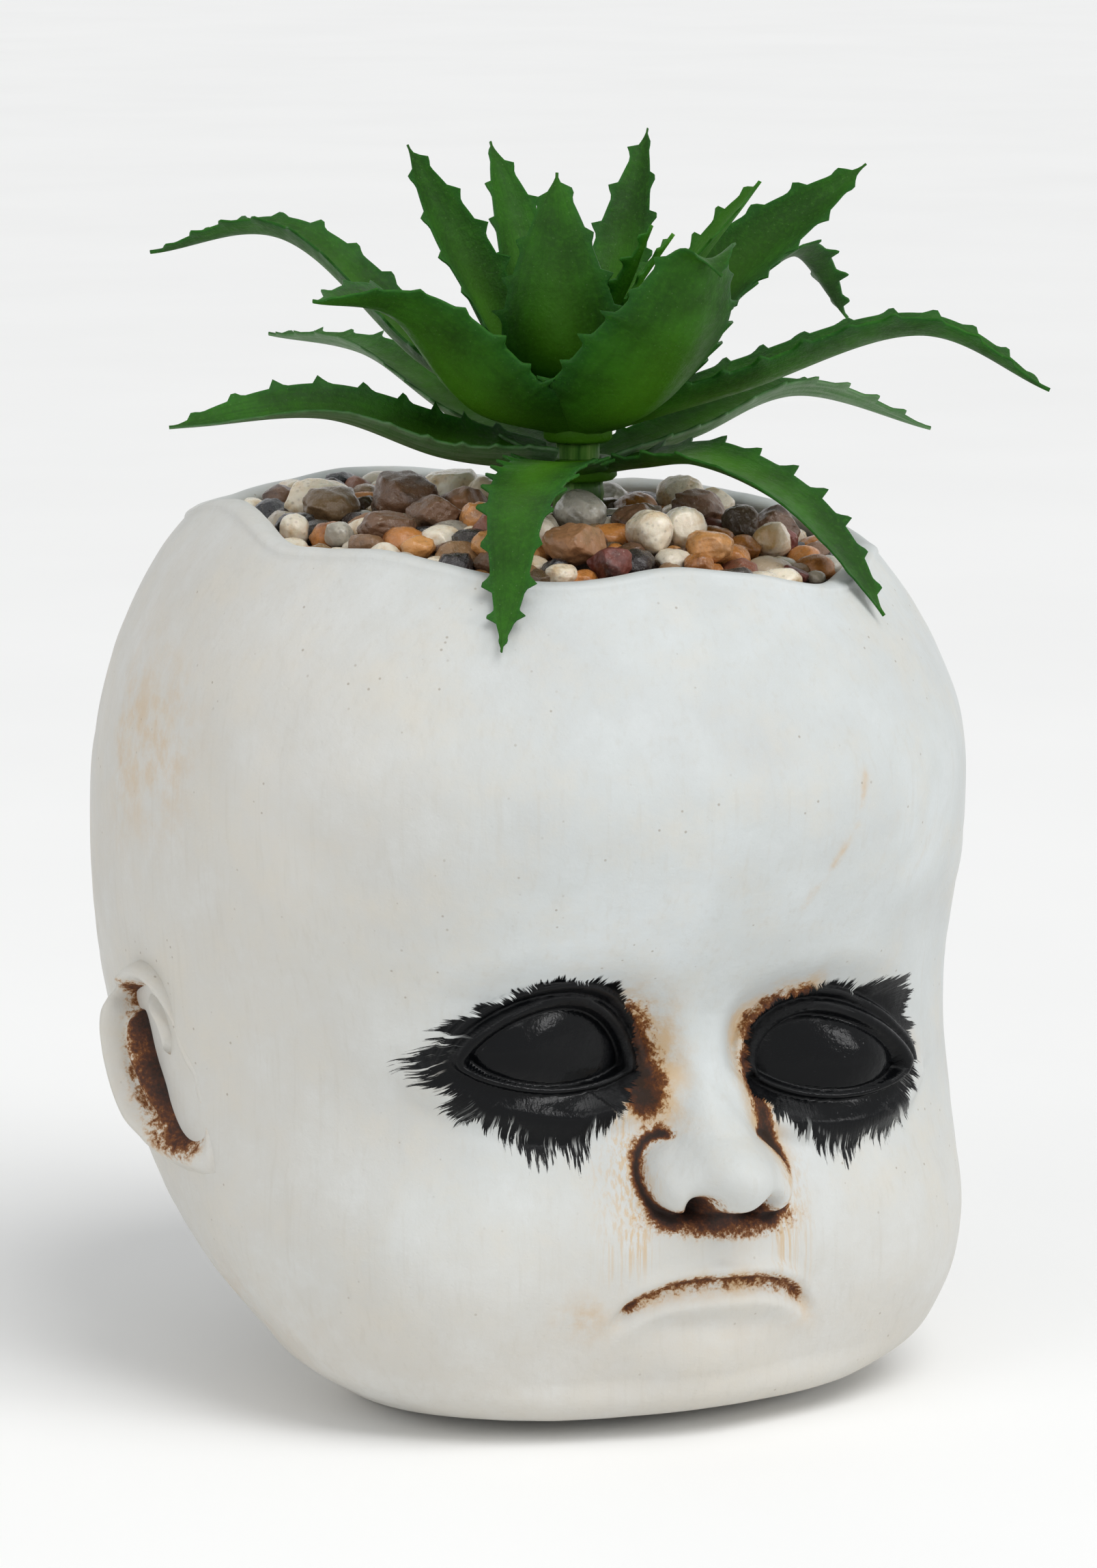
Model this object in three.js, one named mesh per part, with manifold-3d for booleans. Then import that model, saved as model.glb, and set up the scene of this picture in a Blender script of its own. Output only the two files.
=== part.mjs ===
// A doll's head planter with a moulded succulent.
// A hollow resin head with a wavy, broken crown holds a foam block, a bed of glued gravel with single
// stones on it, and a plant of leaf whorls threaded on a stepped stem.
// Millimetres, +Z up, the face towards -Y, the origin in the middle of the flat base.

import * as THREE from "three";
import { mergeVertices } from "three/addons/utils/BufferGeometryUtils.js";
import Module from "manifold-3d";

const wasm = await Module();
wasm.setup();

// Head casting
const HEAD_WIDTH = 125;
const HEAD_DEPTH = 138;
const CROWN_HEIGHT = 124;
const WALL = 4;
const FACE_BACKING = 4;
const BACKING_SPREAD = 30;
const LIP_ROUNDING = 1.4;
const FLOOR_THICKNESS = 8;
const HEAD_LEAN = 0.04;
const LEAN_HEIGHT = 55;

// Face, set a little to one side and leaning
const FACE_MIDDLE = 1.4;
const FACE_LEAN = 0.085;
const EYE_SPACING = 45;
const EYE_HEIGHT = 56;
const EYE_WIDTH = 26;
const EYE_OPENING = 12;
const EYE_BULGE = 3.2;
const SOCKET_DEPTH = 2.6;
const BROW_REACH = 1.6;
const NOSE_BASE = 34;
const NOSE_BRIDGE = 62;
const NOSE_MIDDLE = 1.2;
const NOSE_REACH = 13;
const NOSE_WIDTH = 20;
const NOSE_WING_REACH = 6.6;
const NOSE_SPREAD = 0.42;
const NOSE_NARROWING = 0.16;
const NOSE_FLATNESS = 2.4;
const WING_SIDE = 0.32;
const WING_RISE = 0.25;
const WING_SPREAD = 0.2;
const MOUTH_MIDDLE = 1.3;
const MOUTH_HEIGHT = 24.6;
const MOUTH_WIDTH = 27.4;
const MOUTH_DROOP = 3.8;
const LIP_REACH = 1.6;
const LIP_OFFSET = 3.2;
const LIP_SPREAD = 2.6;
const MUZZLE_HEIGHT = 29;
const MUZZLE_REACH = 3.4;
const MUZZLE_WIDTH = 38;
const MUZZLE_SPREAD = 11.4;
const CHIN_HEIGHT = 11;
const CHIN_REACH = 3;
const CHIN_WIDTH = 22;
const CHEEK_SPACING = 74;
const CHEEK_HEIGHT = 27;
const CHEEK_REACH = 3.5;
const CHEEK_WIDTH = 32;

// Ears
const EAR_HEIGHT = 33;
const EAR_LENGTH = 25;
const EAR_THICKNESS = 8;
const EAR_OFFSET = 1.4;
const EAR_MIDDLE_Z = 47;
const EAR_MIDDLE_Y = 7;
const EAR_BOWL = 2.6;
const EAR_BOWL_SHARE = 0.6;
const EAR_FLARE = 0.27;
const EAR_TILT = 0.18;

// Filling
const FIT = 0.35;
const SEAT_GAP = 0.3;
const GRAVEL_DEPTH = 12;
const BED_BELOW_RIM = 4;
const BED_DOME = 5;

// Stones
const SEPARATE_STONES = 44;
const STONE_GAP = 0.4;
const FILLER_STONES = 36;
const FILLER_LENGTH = 8.2;
const FILLER_WIDTH = 6.7;
const FILLER_HEIGHT = 5.1;
const FILLER_VARIETY = 0.2;
const STONE_SINK = 0.35;
const STONE_TOPS = 6.2;
const SETTLING_ROUNDS = 240;

// Plant
const STEM_X = 6;
const STEM_Y = 8;
const STEM_RADIUS = 3.9;
const PEG_STEP = 0.7;
const STEM_IN_FOAM = 34;
const STEM_TIP = 3;
const WIRE_RADIUS = 0.9;
const WIRE_OUT = 3;
const WIRE_IN_STEM = 44;
const FIRST_SEAT_RISE = 6.5;
const SEAT_STEP = 5.6;
const HUB_THICKNESS = 3.2;
const HUB_WALL = 2.2;
const LEAF_EDGE = 0.9;
const LEAF_MIDRIB = 2.2;
const LEAF_CUP = 0.5;
const LEAF_NECK = 0.26;
const LEAF_SWELL = 1.3;
const LEAF_FULLNESS = 2.6;
const MIDRIB_TAPER = 0.6;
const EDGE_TAPER = 0.4;
const TOOTH_LENGTH = 1.5;
const HANG_GAP = 2;

// Mesh fineness
const COLUMNS = 54;
const FACE_CROWDING = 0.58;
const FACE_TOP = 75;
const FACE_STEP = 2.7;
const CROWN_RINGS = 8;
const ROUND_SIDES = 16;
const STONE_SIDES = 7;
const GLUED_STONE_SIDES = 6;
const STEPS_PER_TOOTH = 2;

// Value at a place on a smooth curve through hand-picked points
function curveThrough(points) {
  return (at) => {
    let i = 0;
    while (i < points.length - 2 && at > points[i + 1][0]) i += 1;
    const [x0, y0] = points[i];
    const [x1, y1] = points[i + 1];
    const before = points[Math.max(i - 1, 0)];
    const after = points[Math.min(i + 2, points.length - 1)];
    const span = x1 - x0;
    const slope0 = (y1 - before[1]) / (x1 - before[0]);
    const slope1 = (after[1] - y0) / (after[0] - x0);
    const t = (at - x0) / span;
    const rise = y0 * (1 + 2 * t) * (1 - t) ** 2 + y1 * t * t * (3 - 2 * t);
    return rise + span * (slope0 * t * (1 - t) ** 2 + slope1 * t * t * (t - 1));
  };
}

// Head outline: heights as shares of the crown height, widths and depths as shares of the head's own
const halfWidthShare = curveThrough([
  [0, 0.288], [0.03, 0.333], [0.08, 0.397], [0.21, 0.464], [0.41, 0.492],
  [0.65, 0.5], [0.85, 0.476], [0.97, 0.415], [1.07, 0.325],
]);
const frontShare = curveThrough([
  [0, 0.184], [0.03, 0.295], [0.08, 0.307], [0.16, 0.32], [0.25, 0.318], [0.32, 0.308], [0.4, 0.301],
  [0.46, 0.307], [0.53, 0.327], [0.65, 0.394], [0.77, 0.416], [0.87, 0.371], [0.97, 0.311], [1.07, 0.221],
]);
const backShare = curveThrough([
  [0, 0.146], [0.03, 0.163], [0.08, 0.207], [0.21, 0.418], [0.41, 0.54],
  [0.65, 0.586], [0.85, 0.529], [0.97, 0.471], [1.07, 0.407],
]);
const widestShare = curveThrough([
  [0, -0.011], [0.03, -0.064], [0.08, -0.078], [0.21, -0.009], [0.41, 0.079],
  [0.65, 0.08], [0.85, 0.053], [1.07, 0.077],
]);
const SECTION_ROUNDNESS = 0.92;

function headSection(z) {
  const share = z / CROWN_HEIGHT;
  return {
    half: halfWidthShare(share) * HEAD_WIDTH,
    front: frontShare(share) * HEAD_DEPTH,
    back: backShare(share) * HEAD_DEPTH,
    widest: widestShare(share) * HEAD_DEPTH,
    middle: HEAD_LEAN * (LEAN_HEIGHT - z),
  };
}

const softPower = (value) => Math.sign(value) * Math.abs(value) ** SECTION_ROUNDNESS;

// Point of a head section: angle 0 looks ahead (-Y) and grows towards +X
function sectionPoint(z, angle, inset, frontInset) {
  const section = headSection(z);
  const ahead = Math.cos(angle);
  const reach = ahead > 0
    ? section.front + section.widest - frontInset
    : section.back - section.widest - inset;
  const x = section.middle + (section.half - inset) * softPower(Math.sin(angle));
  return new THREE.Vector3(x, section.widest - reach * softPower(ahead), z);
}

// Crown rim: rise above or below the mean crown height, by angle in degrees
const RIM_RISES = [
  [-188, 3.8], [-172, 4.6], [-160, 3.4], [-146, 2.8], [-130, 2.6], [-116, 3], [-104, 5.8], [-95, 6.5],
  [-84, 5.2], [-72, 3], [-62, 3.1], [-50, 3.3], [-38, 2.1], [-22, 0], [-10, 0], [2, 0.8], [14, -0.6],
  [30, -3.1], [42, -2.2], [58, -1], [72, -1.8], [84, -0.2], [100, 1.4], [130, 2.5], [150, 1],
  [172, 3.8], [188, 4.6],
];
const rimRise = curveThrough(RIM_RISES);
const RIM_TOP = CROWN_HEIGHT + Math.max(...RIM_RISES.map(([, rise]) => rise));

function rimHeight(angle) {
  const degrees = THREE.MathUtils.radToDeg(angle);
  return CROWN_HEIGHT + rimRise(degrees > 180 ? degrees - 360 : degrees);
}

// Face relief, as a push out of the head at a place across and up the face
const hill = (across, up) => Math.exp(-(across * across + up * up));

const noseProfile = curveThrough([
  [0, 0], [0.08, 0.4], [0.17, 0.9], [0.25, 1], [0.42, 0.66], [0.66, 0.28], [0.88, 0.06], [1, 0],
]);

function noseRelief(x, z) {
  const side = Math.abs(x - NOSE_MIDDLE);
  const share = (z - NOSE_BASE) / (NOSE_BRIDGE - NOSE_BASE);
  const onRidge = share > 0 && share < 1 ? noseProfile(share) : 0;
  const halfWidth = NOSE_WIDTH * (NOSE_SPREAD - NOSE_NARROWING * share);
  const ridge = NOSE_REACH * onRidge * Math.exp(-(Math.abs(side / halfWidth) ** NOSE_FLATNESS));
  const wingX = (side - NOSE_WIDTH * WING_SIDE) / (NOSE_WIDTH * WING_SPREAD);
  const wingZ = (z - NOSE_BASE - NOSE_WIDTH * WING_RISE) / (NOSE_WIDTH * WING_SPREAD);
  return Math.max(ridge, NOSE_WING_REACH * hill(wingX, wingZ));
}

function mouthRelief(x, z) {
  const along = (x - MOUTH_MIDDLE) / (MOUTH_WIDTH / 2);
  const above = z - (MOUTH_HEIGHT - MOUTH_DROOP * Math.abs(along) ** 3);
  const fade = Math.exp(-(along ** 4));
  const upperLip = LIP_REACH * hill(0, (above - LIP_OFFSET) / LIP_SPREAD);
  const lowerLip = LIP_REACH * hill(0, (above + LIP_OFFSET) / LIP_SPREAD);
  const muzzle = MUZZLE_REACH * hill(x / (MUZZLE_WIDTH / 2), (z - MUZZLE_HEIGHT) / MUZZLE_SPREAD);
  return muzzle + fade * Math.max(upperLip, lowerLip);
}

function faceRelief(headX, headZ) {
  const x = headX - FACE_MIDDLE;
  const z = headZ + FACE_LEAN * headX;
  const side = Math.abs(x);
  const eyeX = (side - EYE_SPACING / 2) / (EYE_WIDTH / 2);
  const eyeZ = (z - EYE_HEIGHT) / (EYE_OPENING / 2);
  const socket = -SOCKET_DEPTH * hill(eyeX * 0.7, eyeZ * 0.55);
  const eyeball = EYE_BULGE * hill(eyeX * 1.15, eyeZ * 1.05);
  const brow = BROW_REACH * hill(eyeX * 0.6, (eyeZ - 2) * 0.9);
  const cheekX = (side - CHEEK_SPACING / 2) / (CHEEK_WIDTH / 2);
  const cheek = CHEEK_REACH * hill(cheekX, (z - CHEEK_HEIGHT) / (CHEEK_WIDTH / 2));
  const chin = CHIN_REACH * hill(x / (CHIN_WIDTH / 2), (z - CHIN_HEIGHT) / (CHIN_WIDTH / 4));
  return socket + eyeball + brow + cheek + chin + noseRelief(x, z) + mouthRelief(x, z);
}

function headPoint(angle, z) {
  const point = sectionPoint(z, angle, 0, 0);
  const ahead = Math.cos(angle);
  if (ahead > 0) {
    const push = faceRelief(point.x, z) * Math.min(1, 2 * ahead);
    point.y -= push * ahead;
    point.x += push * Math.sin(angle);
  }
  return point;
}

// Columns crowd together at the front, where the face is
const ANGLES = Array.from({ length: COLUMNS }, (_, i) => {
  const turn = (2 * Math.PI * i) / COLUMNS;
  return turn - FACE_CROWDING * Math.sin(turn);
});

// Closed surface from rings of equal count with a single point at each end
function ringSurface(rings) {
  const positions = [];
  const starts = rings.map((ring) => {
    const start = positions.length / 3;
    ring.forEach((point) => positions.push(point.x, point.y, point.z));
    return start;
  });
  const triangles = [];
  for (let r = 0; r < rings.length - 1; r += 1) {
    const next = r + 1;
    const count = Math.max(rings[r].length, rings[next].length);
    for (let i = 0; i < count; i += 1) {
      const j = (i + 1) % count;
      const low = rings[r].length === 1 ? [starts[r], starts[r]] : [starts[r] + i, starts[r] + j];
      const high = rings[next].length === 1
        ? [starts[next], starts[next]]
        : [starts[next] + i, starts[next] + j];
      if (low[0] !== low[1]) triangles.push(low[0], low[1], high[1]);
      if (high[0] !== high[1]) triangles.push(low[0], high[1], high[0]);
    }
  }
  const geometry = new THREE.BufferGeometry();
  geometry.setAttribute("position", new THREE.Float32BufferAttribute(positions, 3));
  geometry.setIndex(triangles);
  return geometry;
}

// Solids for joining and cutting, and back again
function solidOf(geometry) {
  const bare = geometry.clone();
  bare.deleteAttribute("normal");
  bare.deleteAttribute("uv");
  const merged = mergeVertices(bare, 1e-4);
  return new wasm.Manifold(new wasm.Mesh({
    numProp: 3,
    vertProperties: new Float32Array(merged.attributes.position.array),
    triVerts: new Uint32Array(merged.index.array),
  }));
}

function geometryOf(solid) {
  const mesh = solid.getMesh();
  const geometry = new THREE.BufferGeometry();
  geometry.setAttribute("position", new THREE.BufferAttribute(mesh.vertProperties, 3));
  geometry.setIndex(new THREE.BufferAttribute(mesh.triVerts, 1));
  return geometry;
}

// Head pot
const innerFrontInset = (z) => WALL + FACE_BACKING * hill(0, (z - EYE_HEIGHT) / BACKING_SPREAD);
const cavityPoint = (z, angle, extra) =>
  sectionPoint(z, angle, WALL + extra, innerFrontInset(z) + extra);

// Heights at which the cavity wall and what fills it turn, so that they keep their distance
const CAVITY_SHARES = [0.1, 0.15, 0.2, 0.25, 0.42, 0.6, 0.76, 0.86, 0.93];
const CAVITY_STATIONS = CAVITY_SHARES.map((share) => share * CROWN_HEIGHT);
const CAVITY_TOP = CAVITY_STATIONS[CAVITY_STATIONS.length - 1];
const STATION_ROOM = 1;

function cavityHeights(low, high) {
  const between = CAVITY_STATIONS.filter((z) => z > low + STATION_ROOM && z < high - STATION_ROOM);
  return [low, ...between, high];
}

function headShell() {
  const rings = [[new THREE.Vector3(0, 0, 0)]];
  for (let z = 0; z < FACE_TOP; z += FACE_STEP) {
    rings.push(ANGLES.map((angle) => headPoint(angle, z)));
  }
  for (let i = 0; i <= CROWN_RINGS; i += 1) {
    const share = i / CROWN_RINGS;
    rings.push(ANGLES.map((angle) => {
      const edge = rimHeight(angle) - LIP_ROUNDING;
      return headPoint(angle, FACE_TOP + (edge - FACE_TOP) * share);
    }));
  }
  rings.push(ANGLES.map((angle) => {
    const top = rimHeight(angle);
    const middle = sectionPoint(top - LIP_ROUNDING, angle, WALL / 2, WALL / 2);
    return middle.setZ(top);
  }));
  const wallHeights = cavityHeights(FLOOR_THICKNESS, CAVITY_TOP).reverse();
  [1, 0.5].forEach((share) => rings.push(ANGLES.map((angle) => {
    const edge = rimHeight(angle) - LIP_ROUNDING;
    return cavityPoint(CAVITY_TOP + (edge - CAVITY_TOP) * share, angle, 0);
  })));
  wallHeights.forEach((z) => rings.push(ANGLES.map((angle) => cavityPoint(z, angle, 0))));
  rings.push([new THREE.Vector3(0, 0, FLOOR_THICKNESS)]);
  return ringSurface(rings);
}

function ellipsoid(halfX, halfY, halfZ) {
  return new THREE.SphereGeometry(1, ROUND_SIDES, ROUND_SIDES / 2).scale(halfX, halfY, halfZ);
}

// Ear: an oval that flares out to the back, with a bowl scooped out of its outer face
function earSolid(side) {
  const section = headSection(EAR_MIDDLE_Z);
  const middleX = section.middle + side * (section.half + EAR_OFFSET);
  const place = new THREE.Matrix4().makeTranslation(middleX, EAR_MIDDLE_Y, EAR_MIDDLE_Z);
  place.multiply(new THREE.Matrix4().makeRotationZ(-side * EAR_FLARE));
  place.multiply(new THREE.Matrix4().makeRotationX(-EAR_TILT));
  const oval = ellipsoid(EAR_THICKNESS / 2, EAR_LENGTH / 2, EAR_HEIGHT / 2);
  const bowlShare = EAR_BOWL_SHARE / 2;
  const bowl = ellipsoid(EAR_BOWL, EAR_LENGTH * bowlShare, EAR_HEIGHT * bowlShare);
  bowl.translate(side * EAR_THICKNESS / 2, 0, 0);
  return solidOf(oval.applyMatrix4(place)).subtract(solidOf(bowl.applyMatrix4(place)));
}

function headPot() {
  const cavity = solidOf(cavityFilling(FLOOR_THICKNESS, RIM_TOP, 0));
  const ears = earSolid(1).add(earSolid(-1)).subtract(cavity);
  return geometryOf(solidOf(headShell()).add(ears));
}

// Block that fills the cavity between two heights
function cavityFilling(low, high, clearance) {
  const rings = cavityHeights(low, high).map((z) =>
    ANGLES.map((angle) => cavityPoint(z, angle, clearance)));
  return ringSurface([
    [new THREE.Vector3(0, 0, low)], ...rings, [new THREE.Vector3(STEM_X, STEM_Y, high)],
  ]);
}

// Heights of the filling
const BED_EDGE = CROWN_HEIGHT - BED_BELOW_RIM;
const FOAM_TOP = BED_EDGE - GRAVEL_DEPTH;
const BED_BOTTOM = FOAM_TOP + SEAT_GAP;
const STEM_BOTTOM = FOAM_TOP - STEM_IN_FOAM;
const HOLE_BOTTOM = STEM_BOTTOM - WIRE_OUT - SEAT_GAP;

function roundBar(radius, low, high) {
  const bar = new THREE.CylinderGeometry(radius, radius, high - low, ROUND_SIDES);
  return bar.rotateX(Math.PI / 2).translate(STEM_X, STEM_Y, (low + high) / 2);
}

function foamBlock() {
  const block = solidOf(cavityFilling(FLOOR_THICKNESS + SEAT_GAP, FOAM_TOP, FIT));
  const hole = solidOf(roundBar(STEM_RADIUS + FIT, HOLE_BOTTOM, CROWN_HEIGHT));
  return geometryOf(block.subtract(hole));
}

// Mouth of the crown, which the stones stay inside of, at the height of their tops
const mouth = headSection(BED_EDGE + STONE_TOPS);
const MOUTH_HALF_X = mouth.half - WALL - FIT;
const MOUTH_HALF_Y = (mouth.front + mouth.back) / 2 - WALL - FIT;
const MOUTH_X = mouth.middle;
const MOUTH_Y = (mouth.back - mouth.front) / 2;

const mouthShare = (x, y) => Math.hypot((x - MOUTH_X) / MOUTH_HALF_X, (y - MOUTH_Y) / MOUTH_HALF_Y);
const bedHeight = (x, y) => BED_EDGE + BED_DOME * Math.max(0, 1 - mouthShare(x, y) ** 4);
const FIRST_SEAT = bedHeight(STEM_X, STEM_Y) + FIRST_SEAT_RISE;

// Stones that lie in sight, from left to right: kind, place, length, width and height
const SHOWN_STONES = [
  ["cream", -21, 36, 10.7, 8, 6.2], ["tan", -8, 40, 9.3, 7, 5], ["tan", -1, 46, 7, 6, 4.2],
  ["dark", -34, 20, 6.2, 5, 3.6], ["cream", -33, 13, 4.6, 4.2, 4.6], ["dark", -21, 27, 4, 3.6, 3.4],
  ["grey", -29, 6, 4.6, 4, 3.8], ["brown", -19, 15, 12, 9, 7.5], ["brown", -25, 1, 8.4, 6, 4.8],
  ["cream", -6, 24, 6.8, 6, 5.6], ["tan", -14, 7, 4.6, 4.2, 4], ["tan", -14, 0, 5, 4.6, 4.6],
  ["tan", -25, -9, 5, 4.4, 3.4], ["tan", -21, -15, 5.6, 4.8, 3.6], ["grey", -2, 33, 5, 4.4, 4],
  ["grey", 6, -6, 10.4, 7.4, 6], ["purple", -8, -22, 9.3, 7, 5.6], ["cream", -15, -26, 4.6, 4, 3],
  ["purple", 1, -25, 6, 5.4, 4.8], ["cream", 9, -20, 8, 6.4, 6], ["cream", 16, -18, 6.4, 5.6, 5.8],
  ["brown", 22, 3, 9.3, 7, 5.6], ["dark", 15, -2, 7.2, 5.4, 4], ["dark", 23, -11, 6.6, 5.6, 5.2],
  ["cream", 30, 15, 8, 6.6, 6], ["cream", 35, 7, 6.6, 5.6, 5.4], ["brown", 32, -7, 7.2, 6, 5.6],
  ["tan", 17, -26, 8.2, 6, 4.8], ["tan", 10, -27, 4.4, 4, 3.4], ["cream", 25, -20, 6, 5.4, 5],
  ["purple", 29, -15, 4.2, 3.8, 3.4], ["cream", -8, -12, 4.6, 4.2, 4.4],
];
const STONE_COLOURS = {
  cream: 0xd9c8a6, tan: 0xb08a62, brown: 0x6b5340, dark: 0x2c2b2f, grey: 0x9a978a, purple: 0x5e3b38,
};
const STONE_KINDS = Object.keys(STONE_COLOURS);
const GOLDEN_TURN = Math.PI * (3 - Math.sqrt(5));

function allStones() {
  const stones = SHOWN_STONES.map(([kind, x, y, length, width, height], i) =>
    ({ kind, x, y, length, width, height, turn: i * GOLDEN_TURN }));
  for (let i = 0; i < FILLER_STONES; i += 1) {
    const spread = Math.sqrt((i + 0.5) / FILLER_STONES);
    const size = 1 + FILLER_VARIETY * (((i * 7) % 11) / 5 - 1);
    stones.push({
      kind: STONE_KINDS[(i * 5) % STONE_KINDS.length],
      x: MOUTH_X + MOUTH_HALF_X * spread * Math.cos(i * GOLDEN_TURN),
      y: MOUTH_Y + MOUTH_HALF_Y * spread * Math.sin(i * GOLDEN_TURN),
      length: FILLER_LENGTH * size,
      width: FILLER_WIDTH * size,
      height: FILLER_HEIGHT * size,
      turn: i * 1.7,
    });
  }
  return stones;
}

// Half the room that a stone takes up along a direction, with its lumps
const STONE_LUMP = 0.07;
const STONE_SWELL = 1.1;
function stoneReach(stone, direction) {
  const along = Math.cos(direction - stone.turn) * stone.length;
  const across = Math.sin(direction - stone.turn) * stone.width;
  return (Math.hypot(along, across) / 2) * STONE_SWELL;
}

// Room missing between two stones, negative where they are clear
function stoneOverlap(a, b) {
  const direction = Math.atan2(b.y - a.y, b.x - a.x);
  const room = stoneReach(a, direction) + stoneReach(b, direction) + STONE_GAP;
  return room - Math.hypot(b.x - a.x, b.y - a.y);
}

function keepInMouth(stone) {
  const outward = Math.atan2((stone.y - MOUTH_Y) / MOUTH_HALF_Y, (stone.x - MOUTH_X) / MOUTH_HALF_X);
  const reach = (stone.length / 2) * STONE_SWELL + STONE_GAP;
  const limit = 1 - reach / Math.min(MOUTH_HALF_X, MOUTH_HALF_Y);
  const share = Math.min(limit, mouthShare(stone.x, stone.y));
  stone.x = MOUTH_X + MOUTH_HALF_X * share * Math.cos(outward);
  stone.y = MOUTH_Y + MOUTH_HALF_Y * share * Math.sin(outward);
}

const STEM_ROOM = STEM_RADIUS + FIT + STONE_GAP;
function keepOffStem(stone) {
  const direction = Math.atan2(stone.y - STEM_Y, stone.x - STEM_X);
  const room = STEM_ROOM + stoneReach(stone, direction);
  const away = Math.max(room, Math.hypot(stone.x - STEM_X, stone.y - STEM_Y));
  stone.x = STEM_X + away * Math.cos(direction);
  stone.y = STEM_Y + away * Math.sin(direction);
}

// Stones push each other apart until they lie side by side, and those left without room are dropped
function settledStones() {
  const stones = allStones();
  for (let round = 0; round < SETTLING_ROUNDS; round += 1) {
    for (let i = 0; i < stones.length; i += 1) {
      for (let j = i + 1; j < stones.length; j += 1) {
        const [a, b] = [stones[i], stones[j]];
        const push = stoneOverlap(a, b) / 2;
        if (push > 0) {
          const direction = Math.atan2(b.y - a.y, b.x - a.x);
          a.x -= push * Math.cos(direction);
          a.y -= push * Math.sin(direction);
          b.x += push * Math.cos(direction);
          b.y += push * Math.sin(direction);
        }
      }
      keepInMouth(stones[i]);
      keepOffStem(stones[i]);
    }
  }
  const placed = [];
  const slack = STONE_GAP - SEAT_GAP;
  stones.forEach((stone) => {
    if (placed.every((other) => stoneOverlap(stone, other) < slack)) placed.push(stone);
  });
  return placed;
}

// Stone: a rounded pebble with soft lumps, its own for each number
function stoneGeometry(stone, number, bottom, sides) {
  const shape = new THREE.SphereGeometry(1, sides, sides - 2).rotateX(Math.PI / 2);
  const place = shape.attributes.position;
  const point = new THREE.Vector3();
  for (let i = 0; i < place.count; i += 1) {
    point.fromBufferAttribute(place, i);
    const lump = Math.sin(3 * point.x + number) * Math.cos(2.3 * point.y - 2 * number + point.z);
    point.multiplyScalar(1 + STONE_LUMP * lump);
    point.set(softPower(point.x) * stone.length / 2, softPower(point.y) * stone.width / 2,
      point.z * stone.height / 2);
    place.setXYZ(i, point.x, point.y, point.z);
  }
  shape.rotateZ(stone.turn);
  shape.computeBoundingBox();
  return shape.translate(stone.x, stone.y, bottom - shape.boundingBox.min.z);
}

const STONES = settledStones();

// Height at which a stone's round underside meets the domed bed
function restHeight(stone) {
  let rest = bedHeight(stone.x, stone.y);
  [0.3, 0.6, 0.85].forEach((share) => {
    const lift = (1 - Math.sqrt(1 - share * share)) * stone.height / 2;
    for (let i = 0; i < STONE_SIDES; i += 1) {
      const direction = (2 * Math.PI * i) / STONE_SIDES;
      const reach = share * stoneReach(stone, direction);
      const x = stone.x + reach * Math.cos(direction);
      const y = stone.y + reach * Math.sin(direction);
      rest = Math.max(rest, bedHeight(x, y) - lift);
    }
  });
  return rest;
}

// Gravel bed: a domed layer with the stones that are glued into it
function gravelBed() {
  const edge = (z) => ANGLES.map((angle) => cavityPoint(z, angle, FIT));
  const domed = (share) => edge(BED_EDGE).map((point) => {
    const x = STEM_X + (point.x - STEM_X) * share;
    const y = STEM_Y + (point.y - STEM_Y) * share;
    return new THREE.Vector3(x, y, bedHeight(x, y));
  });
  const rings = [
    [new THREE.Vector3(STEM_X, STEM_Y, BED_BOTTOM)],
    ...cavityHeights(BED_BOTTOM, BED_EDGE).map(edge),
    domed(0.75), domed(0.5), domed(0.25),
    [new THREE.Vector3(STEM_X, STEM_Y, bedHeight(STEM_X, STEM_Y))],
  ];
  let bed = solidOf(ringSurface(rings));
  STONES.slice(SEPARATE_STONES).forEach((stone, i) => {
    const bottom = restHeight(stone) - STONE_SINK * stone.height;
    bed = bed.add(solidOf(stoneGeometry(stone, i + SEPARATE_STONES, bottom, GLUED_STONE_SIDES)));
  });
  return geometryOf(bed.subtract(solidOf(roundBar(STEM_RADIUS + FIT, FOAM_TOP, FIRST_SEAT))));
}

// Stem: a round post stepped down once for each whorl, with a bore for its wire from below
const WHORLS = 4;
const seatHeight = (step) => FIRST_SEAT + SEAT_STEP * step;
const pegRadius = (step) => STEM_RADIUS - PEG_STEP * step;
const WIRE_TOP = STEM_BOTTOM + WIRE_IN_STEM;

function plantStem() {
  const profile = [
    [0, WIRE_TOP + SEAT_GAP], [WIRE_RADIUS + FIT, WIRE_TOP + SEAT_GAP], [WIRE_RADIUS + FIT, STEM_BOTTOM],
    [STEM_RADIUS, STEM_BOTTOM + STEM_TIP],
  ];
  for (let step = 0; step < WHORLS; step += 1) {
    profile.push([pegRadius(step), seatHeight(step)], [pegRadius(step + 1), seatHeight(step)]);
  }
  const top = seatHeight(WHORLS - 1) + HUB_THICKNESS + SEAT_GAP;
  profile.push([pegRadius(WHORLS), top], [0, top]);
  const points = profile.map(([radius, z]) => new THREE.Vector2(radius, z));
  return new THREE.LatheGeometry(points, ROUND_SIDES).rotateX(Math.PI / 2).translate(STEM_X, STEM_Y, 0);
}

function stemWire() {
  return roundBar(WIRE_RADIUS, STEM_BOTTOM - WIRE_OUT, WIRE_TOP);
}

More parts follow.
